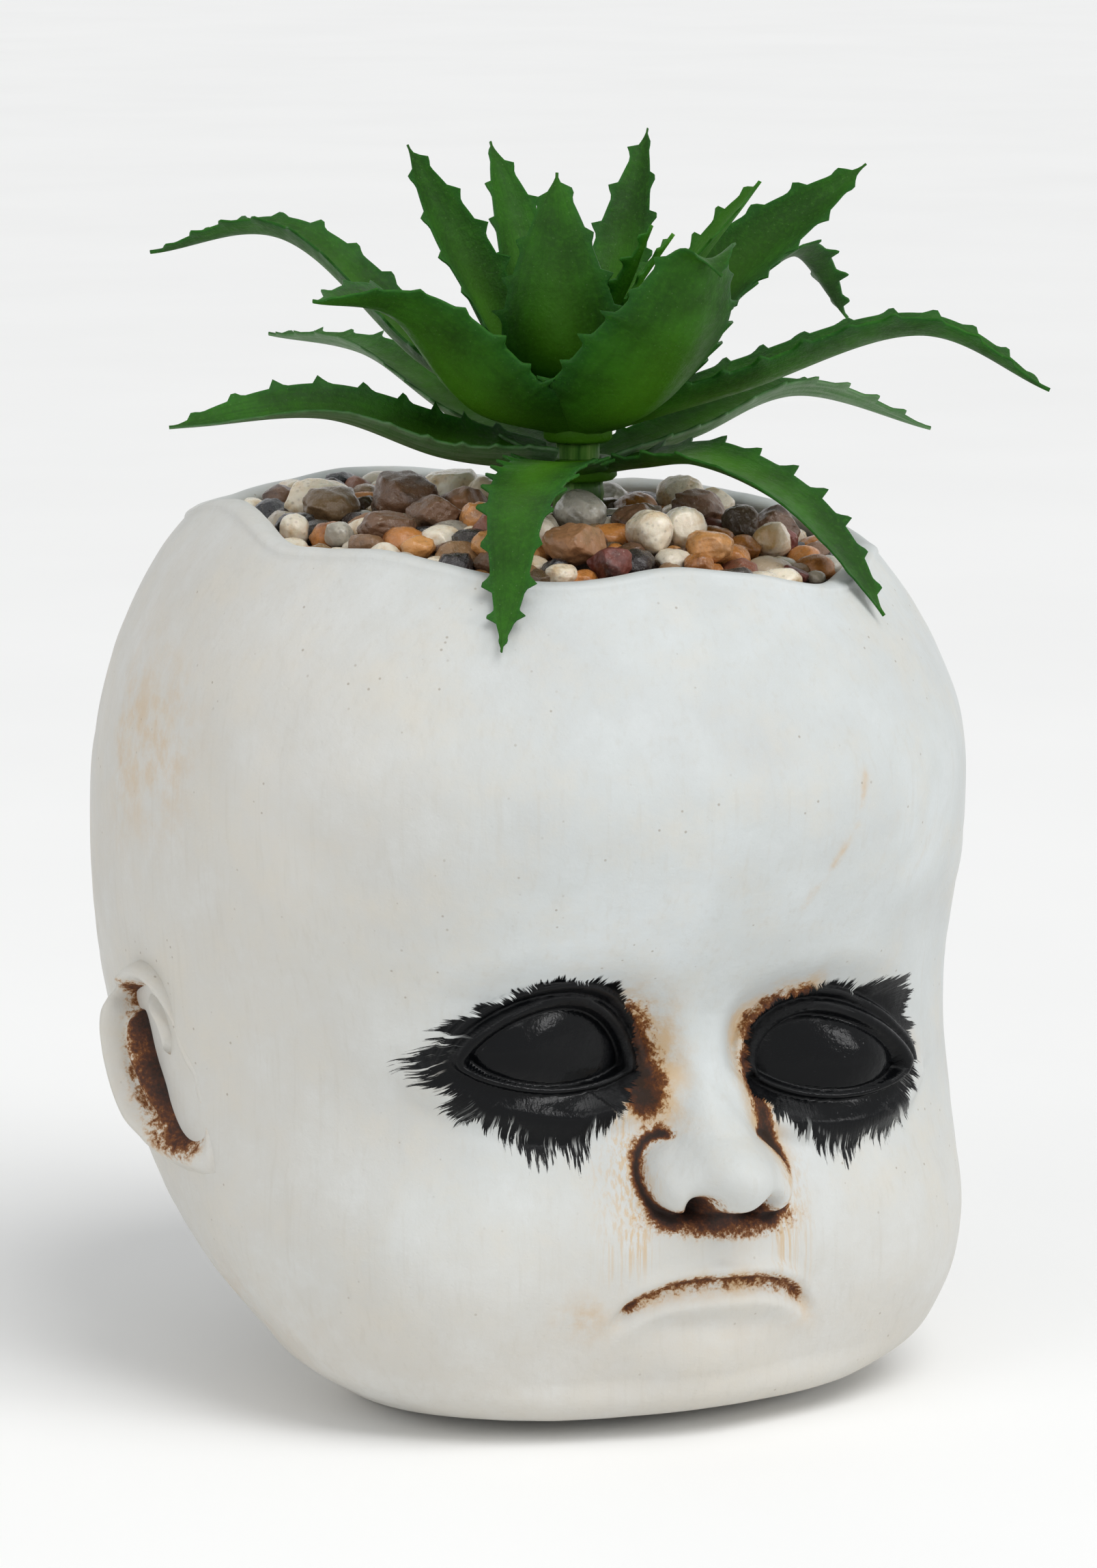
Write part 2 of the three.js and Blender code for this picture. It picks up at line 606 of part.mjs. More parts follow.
// Distance from the stem out to the face of the head at a height
function wallAway(turn, z) {
  const section = headSection(z);
  const power = 2 / SECTION_ROUNDNESS;
  let inside = 0;
  let outside = HEAD_WIDTH + HEAD_DEPTH;
  for (let round = 0; round < 30; round += 1) {
    const away = (inside + outside) / 2;
    const x = STEM_X + away * Math.cos(turn) - section.middle;
    const y = STEM_Y + away * Math.sin(turn) - section.widest;
    const reach = y < 0 ? section.front + section.widest : section.back - section.widest;
    const share = Math.abs(x / section.half) ** power + Math.abs(y / reach) ** power;
    if (share < 1) inside = away;
    else outside = away;
  }
  return inside;
}

// Spine of a leaf that bends over the rim: shares of the way there, then drops below the crown height
function hangingSpine(leaf, seat) {
  const turn = THREE.MathUtils.degToRad(leaf.turn);
  const rimAway = wallAway(turn, CROWN_HEIGHT);
  const over = leaf.over.map(([share, up]) => [rimAway * share, up]);
  const hang = leaf.hang.map((drop) => {
    const z = CROWN_HEIGHT - drop;
    return [wallAway(turn, z) + HANG_GAP, z - seat];
  });
  return [...over, ...hang];
}

// Leaf: a toothed channel swept out along a spine of distances from the stem and heights over its ring
function leafGeometry(leaf, seat, start) {
  const turn = THREE.MathUtils.degToRad(leaf.turn);
  const outward = new THREE.Vector3(Math.cos(turn), Math.sin(turn), 0);
  const across = new THREE.Vector3(-Math.sin(turn), Math.cos(turn), 0);
  const path = leaf.spine ?? hangingSpine(leaf, seat);
  const places = [[start, HUB_THICKNESS / 2], ...path].map(([away, up]) =>
    new THREE.Vector3(STEM_X, STEM_Y, seat + up).addScaledVector(outward, away));
  const spine = new THREE.CatmullRomCurve3(places);
  const steps = leaf.teeth * STEPS_PER_TOOTH;
  const rings = [];
  for (let i = 0; i < steps; i += 1) {
    const t = i / steps;
    const middle = spine.getPoint(t);
    const above = new THREE.Vector3().crossVectors(spine.getTangent(t), across);
    const taper = (1 - t ** LEAF_FULLNESS) * (LEAF_NECK + (LEAF_SWELL - LEAF_NECK) * Math.sqrt(t));
    const tooth = i % STEPS_PER_TOOTH === STEPS_PER_TOOTH - 1 ? TOOTH_LENGTH * (1 - t / 2) : 0;
    const half = (leaf.width / 2) * taper;
    const edge = (side, lift) => middle.clone()
      .addScaledVector(across, side * (half + tooth))
      .addScaledVector(above, half * LEAF_CUP + lift);
    const thick = (LEAF_MIDRIB / 2) * (1 - MIDRIB_TAPER * t);
    const thin = (LEAF_EDGE / 2) * (1 - EDGE_TAPER * t);
    rings.push([
      edge(-1, -thin), middle.clone().addScaledVector(above, -thick), edge(1, -thin),
      edge(1, thin), middle.clone().addScaledVector(above, thick), edge(-1, thin),
    ]);
  }
  const root = rings[0].reduce((sum, point) => sum.add(point), new THREE.Vector3()).divideScalar(6);
  return ringSurface([[root], ...rings, [spine.getPoint(1)]]);
}

const LOWER_LEAVES = [
  { turn: 163, width: 14, teeth: 6, spine: [[20, 4], [38, 10], [60, 8.5]] },
  { turn: -125, width: 15, teeth: 6, over: [[0.33, 4], [0.66, 4.5], [0.95, 1]], hang: [2.5, 8.5] },
  { turn: -60, width: 13, teeth: 6, over: [[0.27, 3], [0.5, 4], [0.8, 0]], hang: [-1, 8] },
  { turn: 10, width: 12, teeth: 6, spine: [[20, 5], [40, 10], [66, 3]] },
  { turn: 110, width: 12, teeth: 6, spine: [[22, 6], [44, 15], [67, 16.5]] },
];
const MIDDLE_LEAVES = [
  { turn: -170, width: 22, teeth: 6, spine: [[18, 6], [32, 20], [46, 23]] },
  { turn: -86, width: 24, teeth: 6, spine: [[17, 6], [31, 18], [37, 29]] },
  { turn: -33, width: 16, teeth: 7, spine: [[24, 8], [50, 16.5], [69, 8.5]] },
  { turn: 130, width: 15, teeth: 6, spine: [[24, 10], [48, 28], [71, 25]] },
  { turn: 28, width: 14, teeth: 6, spine: [[24, 11], [54, 26], [70, 14]] },
];
const UPPER_LEAVES = [
  { turn: -130, width: 16, teeth: 6, spine: [[10, 6], [13.5, 18], [12, 34.5]] },
  { turn: -55, width: 9, teeth: 6, spine: [[10, 6], [19, 20], [30, 33.5]] },
  { turn: -10, width: 13, teeth: 6, spine: [[12, 6], [26, 20], [44, 34]] },
  { turn: 45, width: 12, teeth: 6, spine: [[11, 6], [20, 20], [31, 38]] },
  { turn: 95, width: 11, teeth: 6, spine: [[10, 6], [17, 20], [26, 36.5]] },
  { turn: 150, width: 12, teeth: 6, spine: [[10, 6], [17, 20], [25, 37.5]] },
];
const CROWN_LEAVES = [
  { turn: -60, width: 4.5, teeth: 3, spine: [[5, 6], [9, 13], [13, 21]] },
  { turn: -20, width: 4, teeth: 3, spine: [[5, 6], [9, 12], [14, 19]] },
  { turn: 80, width: 4, teeth: 3, spine: [[4, 7], [6, 14], [8, 20]] },
  { turn: 190, width: 4, teeth: 3, spine: [[4, 7], [6, 13], [8, 18]] },
];

function leafWhorl(step, leaves) {
  const seat = seatHeight(step) + SEAT_GAP;
  const hole = pegRadius(step + 1) + FIT;
  const outer = hole + HUB_WALL;
  const section = [[hole, 0], [outer, 0], [outer, HUB_THICKNESS], [hole, HUB_THICKNESS], [hole, 0]];
  const profile = section.map(([radius, up]) => new THREE.Vector2(radius, seat + up));
  const ring = new THREE.LatheGeometry(profile, ROUND_SIDES).rotateX(Math.PI / 2);
  let whorl = solidOf(ring.translate(STEM_X, STEM_Y, 0));
  leaves.forEach((leaf) => {
    whorl = whorl.add(solidOf(leafGeometry(leaf, seat, hole + HUB_WALL / 3)));
  });
  return geometryOf(whorl);
}

// Assembly
const planter = new THREE.Group();

function addPiece(name, geometry, color, roughness, metalness = 0) {
  const material = new THREE.MeshStandardMaterial({ color, roughness, metalness });
  const mesh = new THREE.Mesh(geometry, material);
  mesh.name = name;
  planter.add(mesh);
}

addPiece("head_pot", headPot(), 0xcdcbc8, 0.45);
addPiece("foam_block", foamBlock(), 0x3c5a3e, 0.95);
addPiece("gravel_bed", gravelBed(), 0x7a6650, 0.8);
STONES.slice(0, SEPARATE_STONES).forEach((stone, i) => {
  const bottom = restHeight(stone) + SEAT_GAP;
  const name = `pebble_${String(i + 1).padStart(2, "0")}_${stone.kind}`;
  addPiece(name, stoneGeometry(stone, i, bottom, STONE_SIDES), STONE_COLOURS[stone.kind], 0.5);
});
addPiece("plant_stem", plantStem(), 0x4c7a2a, 0.6);
addPiece("stem_wire", stemWire(), 0x9a9a98, 0.35, 1);
addPiece("lower_leaf_whorl", leafWhorl(0, LOWER_LEAVES), 0x2f7a30, 0.5);
addPiece("middle_leaf_whorl", leafWhorl(1, MIDDLE_LEAVES), 0x1f5f22, 0.5);
addPiece("upper_leaf_whorl", leafWhorl(2, UPPER_LEAVES), 0x1f5f22, 0.5);
addPiece("crown_leaf_whorl", leafWhorl(3, CROWN_LEAVES), 0x4a7a1a, 0.5);

export default planter;
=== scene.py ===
import math

import bpy
import numpy as np
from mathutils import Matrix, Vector


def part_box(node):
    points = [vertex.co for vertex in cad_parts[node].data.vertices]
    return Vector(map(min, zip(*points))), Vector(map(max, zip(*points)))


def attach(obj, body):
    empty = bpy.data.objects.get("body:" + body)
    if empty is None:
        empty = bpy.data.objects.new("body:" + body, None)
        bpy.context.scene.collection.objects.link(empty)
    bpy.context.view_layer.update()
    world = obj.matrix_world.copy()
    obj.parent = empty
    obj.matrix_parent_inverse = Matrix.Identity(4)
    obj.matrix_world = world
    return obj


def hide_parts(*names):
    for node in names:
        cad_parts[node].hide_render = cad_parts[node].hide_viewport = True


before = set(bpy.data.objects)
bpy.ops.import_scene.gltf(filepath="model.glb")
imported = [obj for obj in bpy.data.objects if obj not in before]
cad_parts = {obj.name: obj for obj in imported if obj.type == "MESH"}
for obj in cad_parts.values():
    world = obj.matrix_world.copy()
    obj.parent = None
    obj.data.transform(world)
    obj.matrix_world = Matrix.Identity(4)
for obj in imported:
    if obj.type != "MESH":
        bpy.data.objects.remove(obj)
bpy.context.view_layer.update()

# Lengths are in millimetres until a mesh is made
MM = 0.001

# Head casting
HEAD_WIDTH = 125
HEAD_DEPTH = 138
CROWN_HEIGHT = 124
WALL = 4
LIP_ROUNDING = 1.4
FLOOR_THICKNESS = 8
SECTION_ROUNDNESS = 0.92
HEAD_LEAN = 0.04
LEAN_HEIGHT = 55

# Face, set a little to one side and leaning
FACE_MIDDLE = 1.4
FACE_LEAN = 0.085
EYE_SPACING = 44
EYE_WIDTH = 22
EYE_HEIGHT = 53.5
EYE_LEAN = 0.03
EYE_TURN = 5
EYE_OVERHANG = 2.4
UPPER_LID_RISE = 8.2
LOWER_LID_DROP = 2.8
EYE_BULGE = 5.0
EYE_RECESS = 2.2
BALL_RISE = 1.8
BALL_RADIUS = 7.6
# Folds of the lids: height, way out from the eye's edge and half width
UPPER_LID_FOLDS = [(2.0, 1.15, 1.3), (1.2, 3.3, 0.95)]
LOWER_LID_EDGE = (1.5, 0.7, 0.75)
POUCH_FOLDS = [(1.6, 4.7, 2.5), (-0.4, 8.6, 1.4)]
SOCKET_DEPTH = 1.2
NOSE_BASE = 34
NOSE_BRIDGE = 62
NOSE_MIDDLE = 1.2
NOSE_REACH = 13
NOSE_WIDTH = 20
NOSE_TIP_HEIGHT = 40.6
NOSE_TIP_HALF_WIDTH = 8.2
WING_HEIGHT = 39
NOSTRIL_ASIDE = 4.4
NOSTRIL_HEIGHT = 35.6
MOUTH_MIDDLE = 1.3
MOUTH_HEIGHT = 24.6
MOUTH_WIDTH = 27.4
MOUTH_DROOP = 3.8
MOUTH_LEAN = -0.05
# Soft forms of the face: middle in face coordinates, half sizes and height
CHIN_AND_MUZZLE = [(0, 11, 10.5, 6, 2.9), (0, 29, 19, 11, 3.8)]
CHEEKS_AND_BROWS = [(37, 27, 16, 16, 3.5), (22, 69, 18, 5, 1.5)]

# Ear, in its own plane: how far back from its front edge, and how high over its middle
EAR_SEATS = {
    # front edge of each ear, and how far it flares out to the back
    -1: ((-57.2, -7.9), 0.3),
    1: ((57.4, -7.6), 0.28),
}
EAR_TILT = 0.12
EAR_MIDDLE_Z = 49.5
EAR_MIDDLE_BACK = 12
EAR_SINK = 4

# Filling and plant
BED_BELOW_RIM = 4
BED_DOME = 5
STONE_TOPS = 6.2
FIT = 0.35
STEM_X = 6
STEM_Y = 8
STEM_RADIUS = 3.9
PEG_STEP = 0.7
FIRST_SEAT = CROWN_HEIGHT - BED_BELOW_RIM + BED_DOME + 6.5
SEAT_STEP = 5.6
SEAT_GAP = 0.3
HUB_THICKNESS = 3.2
HUB_WALL = 2.2
HUB_SIDES = 40
STEM_SIDES = 48
STEM_RING = 0.12
HANG_GAP = 2


def curve_through(points):
    """Smooth curve through given points, for arrays"""
    xs, ys = np.array(points, float).T
    slopes = np.gradient(ys, xs)
    slopes[1:-1] = (ys[2:] - ys[:-2]) / (xs[2:] - xs[:-2])

    def value(at):
        at = np.asarray(at, float)
        i = np.searchsorted(xs[1:-1], at)
        span = xs[i + 1] - xs[i]
        t = (at - xs[i]) / span
        rise = ys[i] * (1 + 2 * t) * (1 - t) ** 2 + ys[i + 1] * t * t * (3 - 2 * t)
        return rise + span * (slopes[i] * t * (1 - t) ** 2 + slopes[i + 1] * t * t * (t - 1))

    return value


def hill(across, up=0.0):
    return np.exp(-(across * across + up * up))


def spots(across, up, table):
    """Sum of soft spots: the middle, half sizes and strength of each"""
    return sum(strength * hill((across - x) / wide, (up - z) / high) for x, z, wide, high, strength in table)


def ramp(low, high, value):
    t = np.clip((value - low) / (high - low), 0, 1)
    return t * t * (3 - 2 * t)


def cap(across, up):
    """Half a ball of height 1 over a circle of radius 1"""
    return np.sqrt(np.clip(1 - across ** 2 - up ** 2, 0, 1))


def soft_max(a, b, blend):
    """The larger of two heights, with a small fillet where they meet"""
    h = np.clip(blend - np.abs(a - b), 0, None) / blend
    high = np.maximum(a, b)
    return high + h * h * blend / 4 * ramp(0, blend, high)


def soft_power(value):
    return np.sign(value) * np.abs(value) ** SECTION_ROUNDNESS


def distance_to_path(x, y, path):
    """Distance of points to a line through a few corners"""
    nearest = np.full(np.shape(x), 1e9)
    for (x0, y0), (x1, y1) in zip(path, path[1:]):
        dx, dy = x1 - x0, y1 - y0
        t = np.clip(((x - x0) * dx + (y - y0) * dy) / (dx * dx + dy * dy), 0, 1)
        nearest = np.minimum(nearest, np.hypot(x - x0 - t * dx, y - y0 - t * dy))
    return nearest


def waves(points, rng, count, length):
    """Soft random lumps: plane waves of about one wavelength, summed to a spread of about 1"""
    total = np.zeros(len(points))
    for _ in range(count):
        direction = rng.normal(size=3)
        direction /= np.linalg.norm(direction)
        turns = 2 * math.pi / (length * rng.uniform(0.7, 1.5))
        total += np.sin(points @ direction * turns + rng.uniform(0, 2 * math.pi))
    return total / math.sqrt(count)


# Seeds of what is drawn at random; each stone and each whorl adds its own number
HEAD_SEED = 11
LAYER_SEED = 5
STONE_SEED = 100
LEAF_SEED = 40

# Head outline: heights as shares of the crown height, widths and depths as shares of the head's own
half_width_share = curve_through([
    (0, 0.288), (0.03, 0.333), (0.08, 0.397), (0.21, 0.464), (0.41, 0.492),
    (0.65, 0.5), (0.85, 0.476), (0.97, 0.415), (1.07, 0.325),
])
front_share = curve_through([
    (0, 0.184), (0.03, 0.295), (0.08, 0.307), (0.16, 0.32), (0.25, 0.318), (0.32, 0.308), (0.4, 0.301),
    (0.46, 0.307), (0.53, 0.327), (0.65, 0.394), (0.77, 0.416), (0.87, 0.371), (0.97, 0.311), (1.07, 0.221),
])
back_share = curve_through([
    (0, 0.146), (0.03, 0.163), (0.08, 0.207), (0.21, 0.418), (0.41, 0.54),
    (0.65, 0.586), (0.85, 0.529), (0.97, 0.471), (1.07, 0.407),
])
widest_share = curve_through([
    (0, -0.011), (0.03, -0.064), (0.08, -0.078), (0.21, -0.009), (0.41, 0.079),
    (0.65, 0.08), (0.85, 0.053), (1.07, 0.077),
])
rim_rise = curve_through([
    (-188, 3.8), (-172, 4.6), (-160, 3.4), (-146, 2.8), (-130, 2.6), (-116, 3), (-104, 5.8), (-95, 6.5),
    (-84, 5.2), (-72, 3), (-62, 3.1), (-50, 3.3), (-38, 2.1), (-22, 0), (-10, 0), (2, 0.8), (14, -0.6),
    (30, -3.1), (42, -2.2), (58, -1), (72, -1.8), (84, -0.2), (100, 1.4), (130, 2.5), (150, 1),
    (172, 3.8), (188, 4.6),
])


def rim_height(angle):
    degrees = np.degrees(angle)
    return CROWN_HEIGHT + rim_rise(np.where(degrees > 180, degrees - 360, degrees))


def section_point(z, angle, inset):
    """Point of a head section: angle 0 looks ahead (-Y) and grows towards +X"""
    share = z / CROWN_HEIGHT
    half = half_width_share(share) * HEAD_WIDTH - inset
    widest = widest_share(share) * HEAD_DEPTH
    front = front_share(share) * HEAD_DEPTH + widest - inset
    back = back_share(share) * HEAD_DEPTH - widest - inset
    ahead = np.cos(angle)
    reach = np.where(ahead > 0, front, back)
    middle = HEAD_LEAN * (LEAN_HEIGHT - z)
    return middle + half * soft_power(np.sin(angle)), widest - reach * soft_power(ahead)


# Face relief, as a push out of the head
def eye_edges(along, fx):
    """Heights of an eye's corners and of its lid edges; -1 is its inner corner and 1 its outer"""
    open_share = np.clip(1 - along ** 2, 0, 1)
    corner = EYE_HEIGHT - EYE_LEAN * fx
    upper = corner + UPPER_LID_RISE * open_share ** 0.62 * (1 - 0.16 * along)
    return corner, upper, corner - LOWER_LID_DROP * open_share ** 0.8


def eye_outline(mirror):
    along = np.cos(np.linspace(0, math.pi, 61))
    across = EYE_SPACING / 2 + along * EYE_WIDTH / 2
    _, upper, lower = eye_edges(along, mirror * across)
    return list(zip(across, upper)) + list(zip(across, lower))[-2::-1]


def eye_relief(fx, fz):
    """Both eyes: each turned to face ahead, with a ball, two folds over it and a rim and pouch under it"""
    side = np.abs(fx)
    along = (side - EYE_SPACING / 2) / (EYE_WIDTH / 2)
    corner, upper, lower = eye_edges(along, fx)
    inside = (fz < upper) & (fz > lower) & (np.abs(along) < 1)
    left, right = (distance_to_path(side, fz, eye_outline(mirror)) for mirror in (-1, 1))
    way = np.where(fx < 0, left, right)
    way = np.where(inside, -way, way)
    turned = EYE_TURN * along * hill(along / 1.5, (fz - EYE_HEIGHT - 2.5) / 10) * ramp(1.5, 8, side)
    overhang = HEAD_DEPTH * (front_share(fz / CROWN_HEIGHT) - front_share(EYE_HEIGHT / CROWN_HEIGHT))
    level = -np.clip(overhang, 0, EYE_OVERHANG) * ramp(11, 1, way)
    socket = -SOCKET_DEPTH * hill(along * 0.62, (fz - EYE_HEIGHT - 3) / 12)
    ball = EYE_BULGE * cap(along / 1.1, (fz - corner - BALL_RISE) / BALL_RADIUS) - EYE_RECESS
    skirt = 0.6 * hill(way / 3.4)
    upper_lid = sum(high * cap((way - out) / half, 0) for high, out, half in UPPER_LID_FOLDS)
    edge_height, edge_out, edge_half = LOWER_LID_EDGE
    pouch = sum(high * hill((way - out) / half) for high, out, half in POUCH_FOLDS)
    lower_lid = edge_height * cap((way - edge_out) / edge_half, 0) + pouch
    bead = 0.7 * hill((along + 1.14) / 0.1, (fz - corner + 0.2) / 1.0)
    lids = lower_lid + (upper_lid - lower_lid) * ramp(-1.5, 1.5, fz - corner) + skirt + bead
    opened = ramp(0.3, -0.3, way)
    return turned + level + socket + lids + (ball - lids) * opened


nose_profile = curve_through([
    (0, 0), (0.1, 0.5), (0.2, 0.86), (0.28, 0.94), (0.42, 0.68), (0.64, 0.3), (0.86, 0.07), (1, 0),
])


def nose_relief(fx, fz):
    across = fx - NOSE_MIDDLE
    side = np.abs(across)
    share = np.clip((fz - NOSE_BASE) / (NOSE_BRIDGE - NOSE_BASE), 0, 1)
    half_width = NOSE_WIDTH * (0.4 - 0.14 * share)
    bridge = NOSE_REACH * nose_profile(share) * np.exp(-np.abs(across / half_width) ** 2.4)
    off_tip = across / NOSE_TIP_HALF_WIDTH
    tip = NOSE_REACH * cap(off_tip, (fz - NOSE_TIP_HEIGHT) / 6.2) * (1 - 0.35 * off_tip ** 2)
    wing = 7.2 * cap((side - 6.1) / 4.6, (fz - WING_HEIGHT) / 5.1)
    nose = soft_max(soft_max(bridge, tip, 2.6), wing, 4.0)
    crease_way = np.hypot((side - 6.0) / 5.1, (fz - WING_HEIGHT) / 5.7)
    crease = -0.7 * hill((crease_way - 1) / 0.13) * ramp(4.5, 7.5, side)
    nostril = -6.0 * hill((side - NOSTRIL_ASIDE) / 1.7, (fz - NOSTRIL_HEIGHT) / 1.7)
    return nose + crease + nostril


def mouth_place(fx, fz):
    """Share of the way from the middle of the mouth to a corner, and height over its line"""
    along = (fx - MOUTH_MIDDLE) / (MOUTH_WIDTH / 2)
    return along, fz - MOUTH_HEIGHT + MOUTH_DROOP * np.abs(along) ** 3 + MOUTH_LEAN * fx


def mouth_relief(fx, fz):
    along, over = mouth_place(fx, fz)
    fade = np.exp(-along ** 6)
    band = -1.0 * ramp(0.35, -0.25, over) * ramp(-4.2, -1.2, over) * fade
    upper_lip = 0.9 * hill((over - 1.3) / 1.2) * fade
    lower_lip = 0.9 * hill((over + 3.9) / 2.1) * fade * (1 - 0.3 * along ** 2)
    chin_crease = -0.5 * hill((fz - MOUTH_HEIGHT + 7.2) / 1.9) * np.exp(-(fx / 10) ** 4)
    dimple = -1.0 * hill((np.abs(along) - 1) / 0.13, (over + 0.6) / 1.8)
    groove = -0.5 * hill((fx - MOUTH_MIDDLE) / 1.7) * ramp(26, 28, fz) * (1 - ramp(31.5, 34, fz))
    return band + upper_lip + lower_lip + chin_crease + dimple + groove


def face_place(x, z):
    return x - FACE_MIDDLE, z + FACE_LEAN * x


def face_relief(x, z):
    fx, fz = face_place(x, z)
    features = eye_relief(fx, fz) + nose_relief(fx, fz) + mouth_relief(fx, fz)
    return features + spots(fx, fz, CHIN_AND_MUZZLE) + spots(np.abs(fx), fz, CHEEKS_AND_BROWS)


# Mesh making
def grid_faces(rows, columns):
    """Quads of a grid of points whose last column joins its first"""
    r, c = np.meshgrid(np.arange(rows - 1), np.arange(columns), indexing="ij")
    right = (c + 1) % columns
    low, high = r * columns, (r + 1) * columns
    return np.stack([low + c, low + right, high + right, high + c], axis=-1).reshape(-1, 4)


def fan_faces(centre, ring, flip=False):
    faces = [(centre, ring[(i + 1) % len(ring)], ring[i]) for i in range(len(ring))]
    return [face[::-1] for face in faces] if flip else faces


def closed_tube(grid, first, last):
    """Points and faces of rings of points, with a fan to a middle point at each end"""
    rows, columns = grid.shape[:2]
    count = rows * columns
    faces = grid_faces(rows, columns).tolist()
    faces += fan_faces(count, range(columns))
    faces += fan_faces(count + 1, range(count - columns, count), flip=True)
    return np.concatenate([grid.reshape(-1, 3), np.array([first, last], float)]), faces


def add_object(name, data):
    made = bpy.data.objects.new(name, data)
    bpy.context.scene.collection.objects.link(made)
    return made


class Parts:
    """Gathers bodies of millimetre points and faces, with their point attributes, into one mesh object"""

    def __init__(self):
        self.points, self.faces, self.slots, self.attributes = [], [], [], {}
        self.count = 0

    def add(self, points, faces, slot=0, **attributes):
        self.points.append(np.asarray(points, float))
        self.faces.extend([tuple(int(i) + self.count for i in face) for face in faces])
        self.slots.extend([slot] * len(faces))
        for key, values in attributes.items():
            self.attributes.setdefault(key, []).append(np.asarray(values, float))
        self.count += len(points)

    def make(self, name, materials):
        mesh = bpy.data.meshes.new(name)
        mesh.from_pydata((np.concatenate(self.points) * MM).tolist(), [], self.faces)
        for key, bodies in self.attributes.items():
            values = np.concatenate(bodies)
            kind, field = ("FLOAT", "value") if values.ndim == 1 else ("FLOAT_VECTOR", "vector")
            mesh.attributes.new(key, kind, "POINT").data.foreach_set(field, values.ravel())
        for material in materials:
            mesh.materials.append(material)
        mesh.polygons.foreach_set("material_index", np.array(self.slots, np.int32))
        mesh.validate()
        mesh.shade_smooth()
        return add_object(name, mesh)


# Shader building
def linear(code):
    """Linear colour of a six-digit sRGB code"""
    parts = [int(code[i:i + 2], 16) / 255 for i in (0, 2, 4)]
    return tuple(p / 12.92 if p <= 0.04045 else ((p + 0.055) / 1.055) ** 2.4 for p in parts) + (1.0,)


class Nodes:
    """Short ways to add nodes to a tree"""

    def __init__(self, tree):
        self.tree = tree

    def feed(self, socket, value):
        if isinstance(value, bpy.types.NodeSocket):
            self.tree.links.new(value, socket)
        else:
            socket.default_value = value

    def add(self, kind, inputs=None, **settings):
        node = self.tree.nodes.new(kind)
        for key, value in settings.items():
            setattr(node, key, value)
        for key, value in (inputs or {}).items():
            self.feed(node.inputs[key], value)
        return node

    def math(self, operation, a, b=0.0, c=0.0):
        return self.add("ShaderNodeMath", {0: a, 1: b, 2: c}, operation=operation).outputs[0]


class Shader(Nodes):
    """A material with one principled shader"""

    def __init__(self, name):
        self.material = bpy.data.materials.new(name)
        self.material.use_nodes = True
        super().__init__(self.material.node_tree)
        self.surface = self.tree.nodes["Principled BSDF"]
        self.place = self.add("ShaderNodeTexCoord").outputs["Object"]

    def set(self, **inputs):
        for key, value in inputs.items():
            self.feed(self.surface.inputs[key.replace("_", " ")], value)

    def attribute(self, name, kind="Fac"):
        return self.add("ShaderNodeAttribute", attribute_name=name).outputs[kind]

    def times(self, a, b):
        return self.math("MULTIPLY", a, b)

    def noise(self, scale, detail=3.0, roughness=0.55, place=None, distortion=0.0):
        inputs = {"Vector": place or self.place, "Scale": scale, "Detail": detail,
                  "Roughness": roughness, "Distortion": distortion}
        return self.add("ShaderNodeTexNoise", inputs).outputs["Fac"]

    def stretched(self, x, y, z):
        return self.add("ShaderNodeMapping", {"Vector": self.place, "Scale": (x, y, z)}).outputs[0]

    def cells(self, scale, place=None):
        inputs = {"Vector": place or self.place, "Scale": scale}
        return self.add("ShaderNodeTexVoronoi", inputs).outputs["Distance"]

    def step(self, value, low, high, to_low=0.0, to_high=1.0):
        inputs = {"Value": value, "From Min": low, "From Max": high, "To Min": to_low, "To Max": to_high}
        return self.add("ShaderNodeMapRange", inputs, interpolation_type="SMOOTHSTEP").outputs[0]

    def mix(self, factor, a, b):
        return self.add("ShaderNodeMix", {0: factor, 6: a, 7: b}, data_type="RGBA").outputs[2]

    def tint(self, base, value, low, high, strength, code):
        """A colour laid over the base, growing to its strength as a value goes from low to high"""
        return self.mix(self.step(value, low, high, 0, strength), base, linear(code))

    def blend(self, factor, a, b):
        return self.add("ShaderNodeMix", {0: factor, 2: a, 3: b}, data_type="FLOAT").outputs[0]

    def colours(self, value, stops):
        node = self.add("ShaderNodeValToRGB", {0: value})
        elements = node.color_ramp.elements
        while len(elements) < len(stops):
            elements.new(0.5)
        for element, (place, code) in zip(elements, stops):
            element.position = place
            element.color = linear(code)
        return node.outputs[0]

    def bump(self, height, strength, distance, below=None):
        inputs = {"Height": height, "Strength": strength, "Distance": distance}
        if below is not None:
            inputs["Normal"] = below
        return self.add("ShaderNodeBump", inputs).outputs[0]


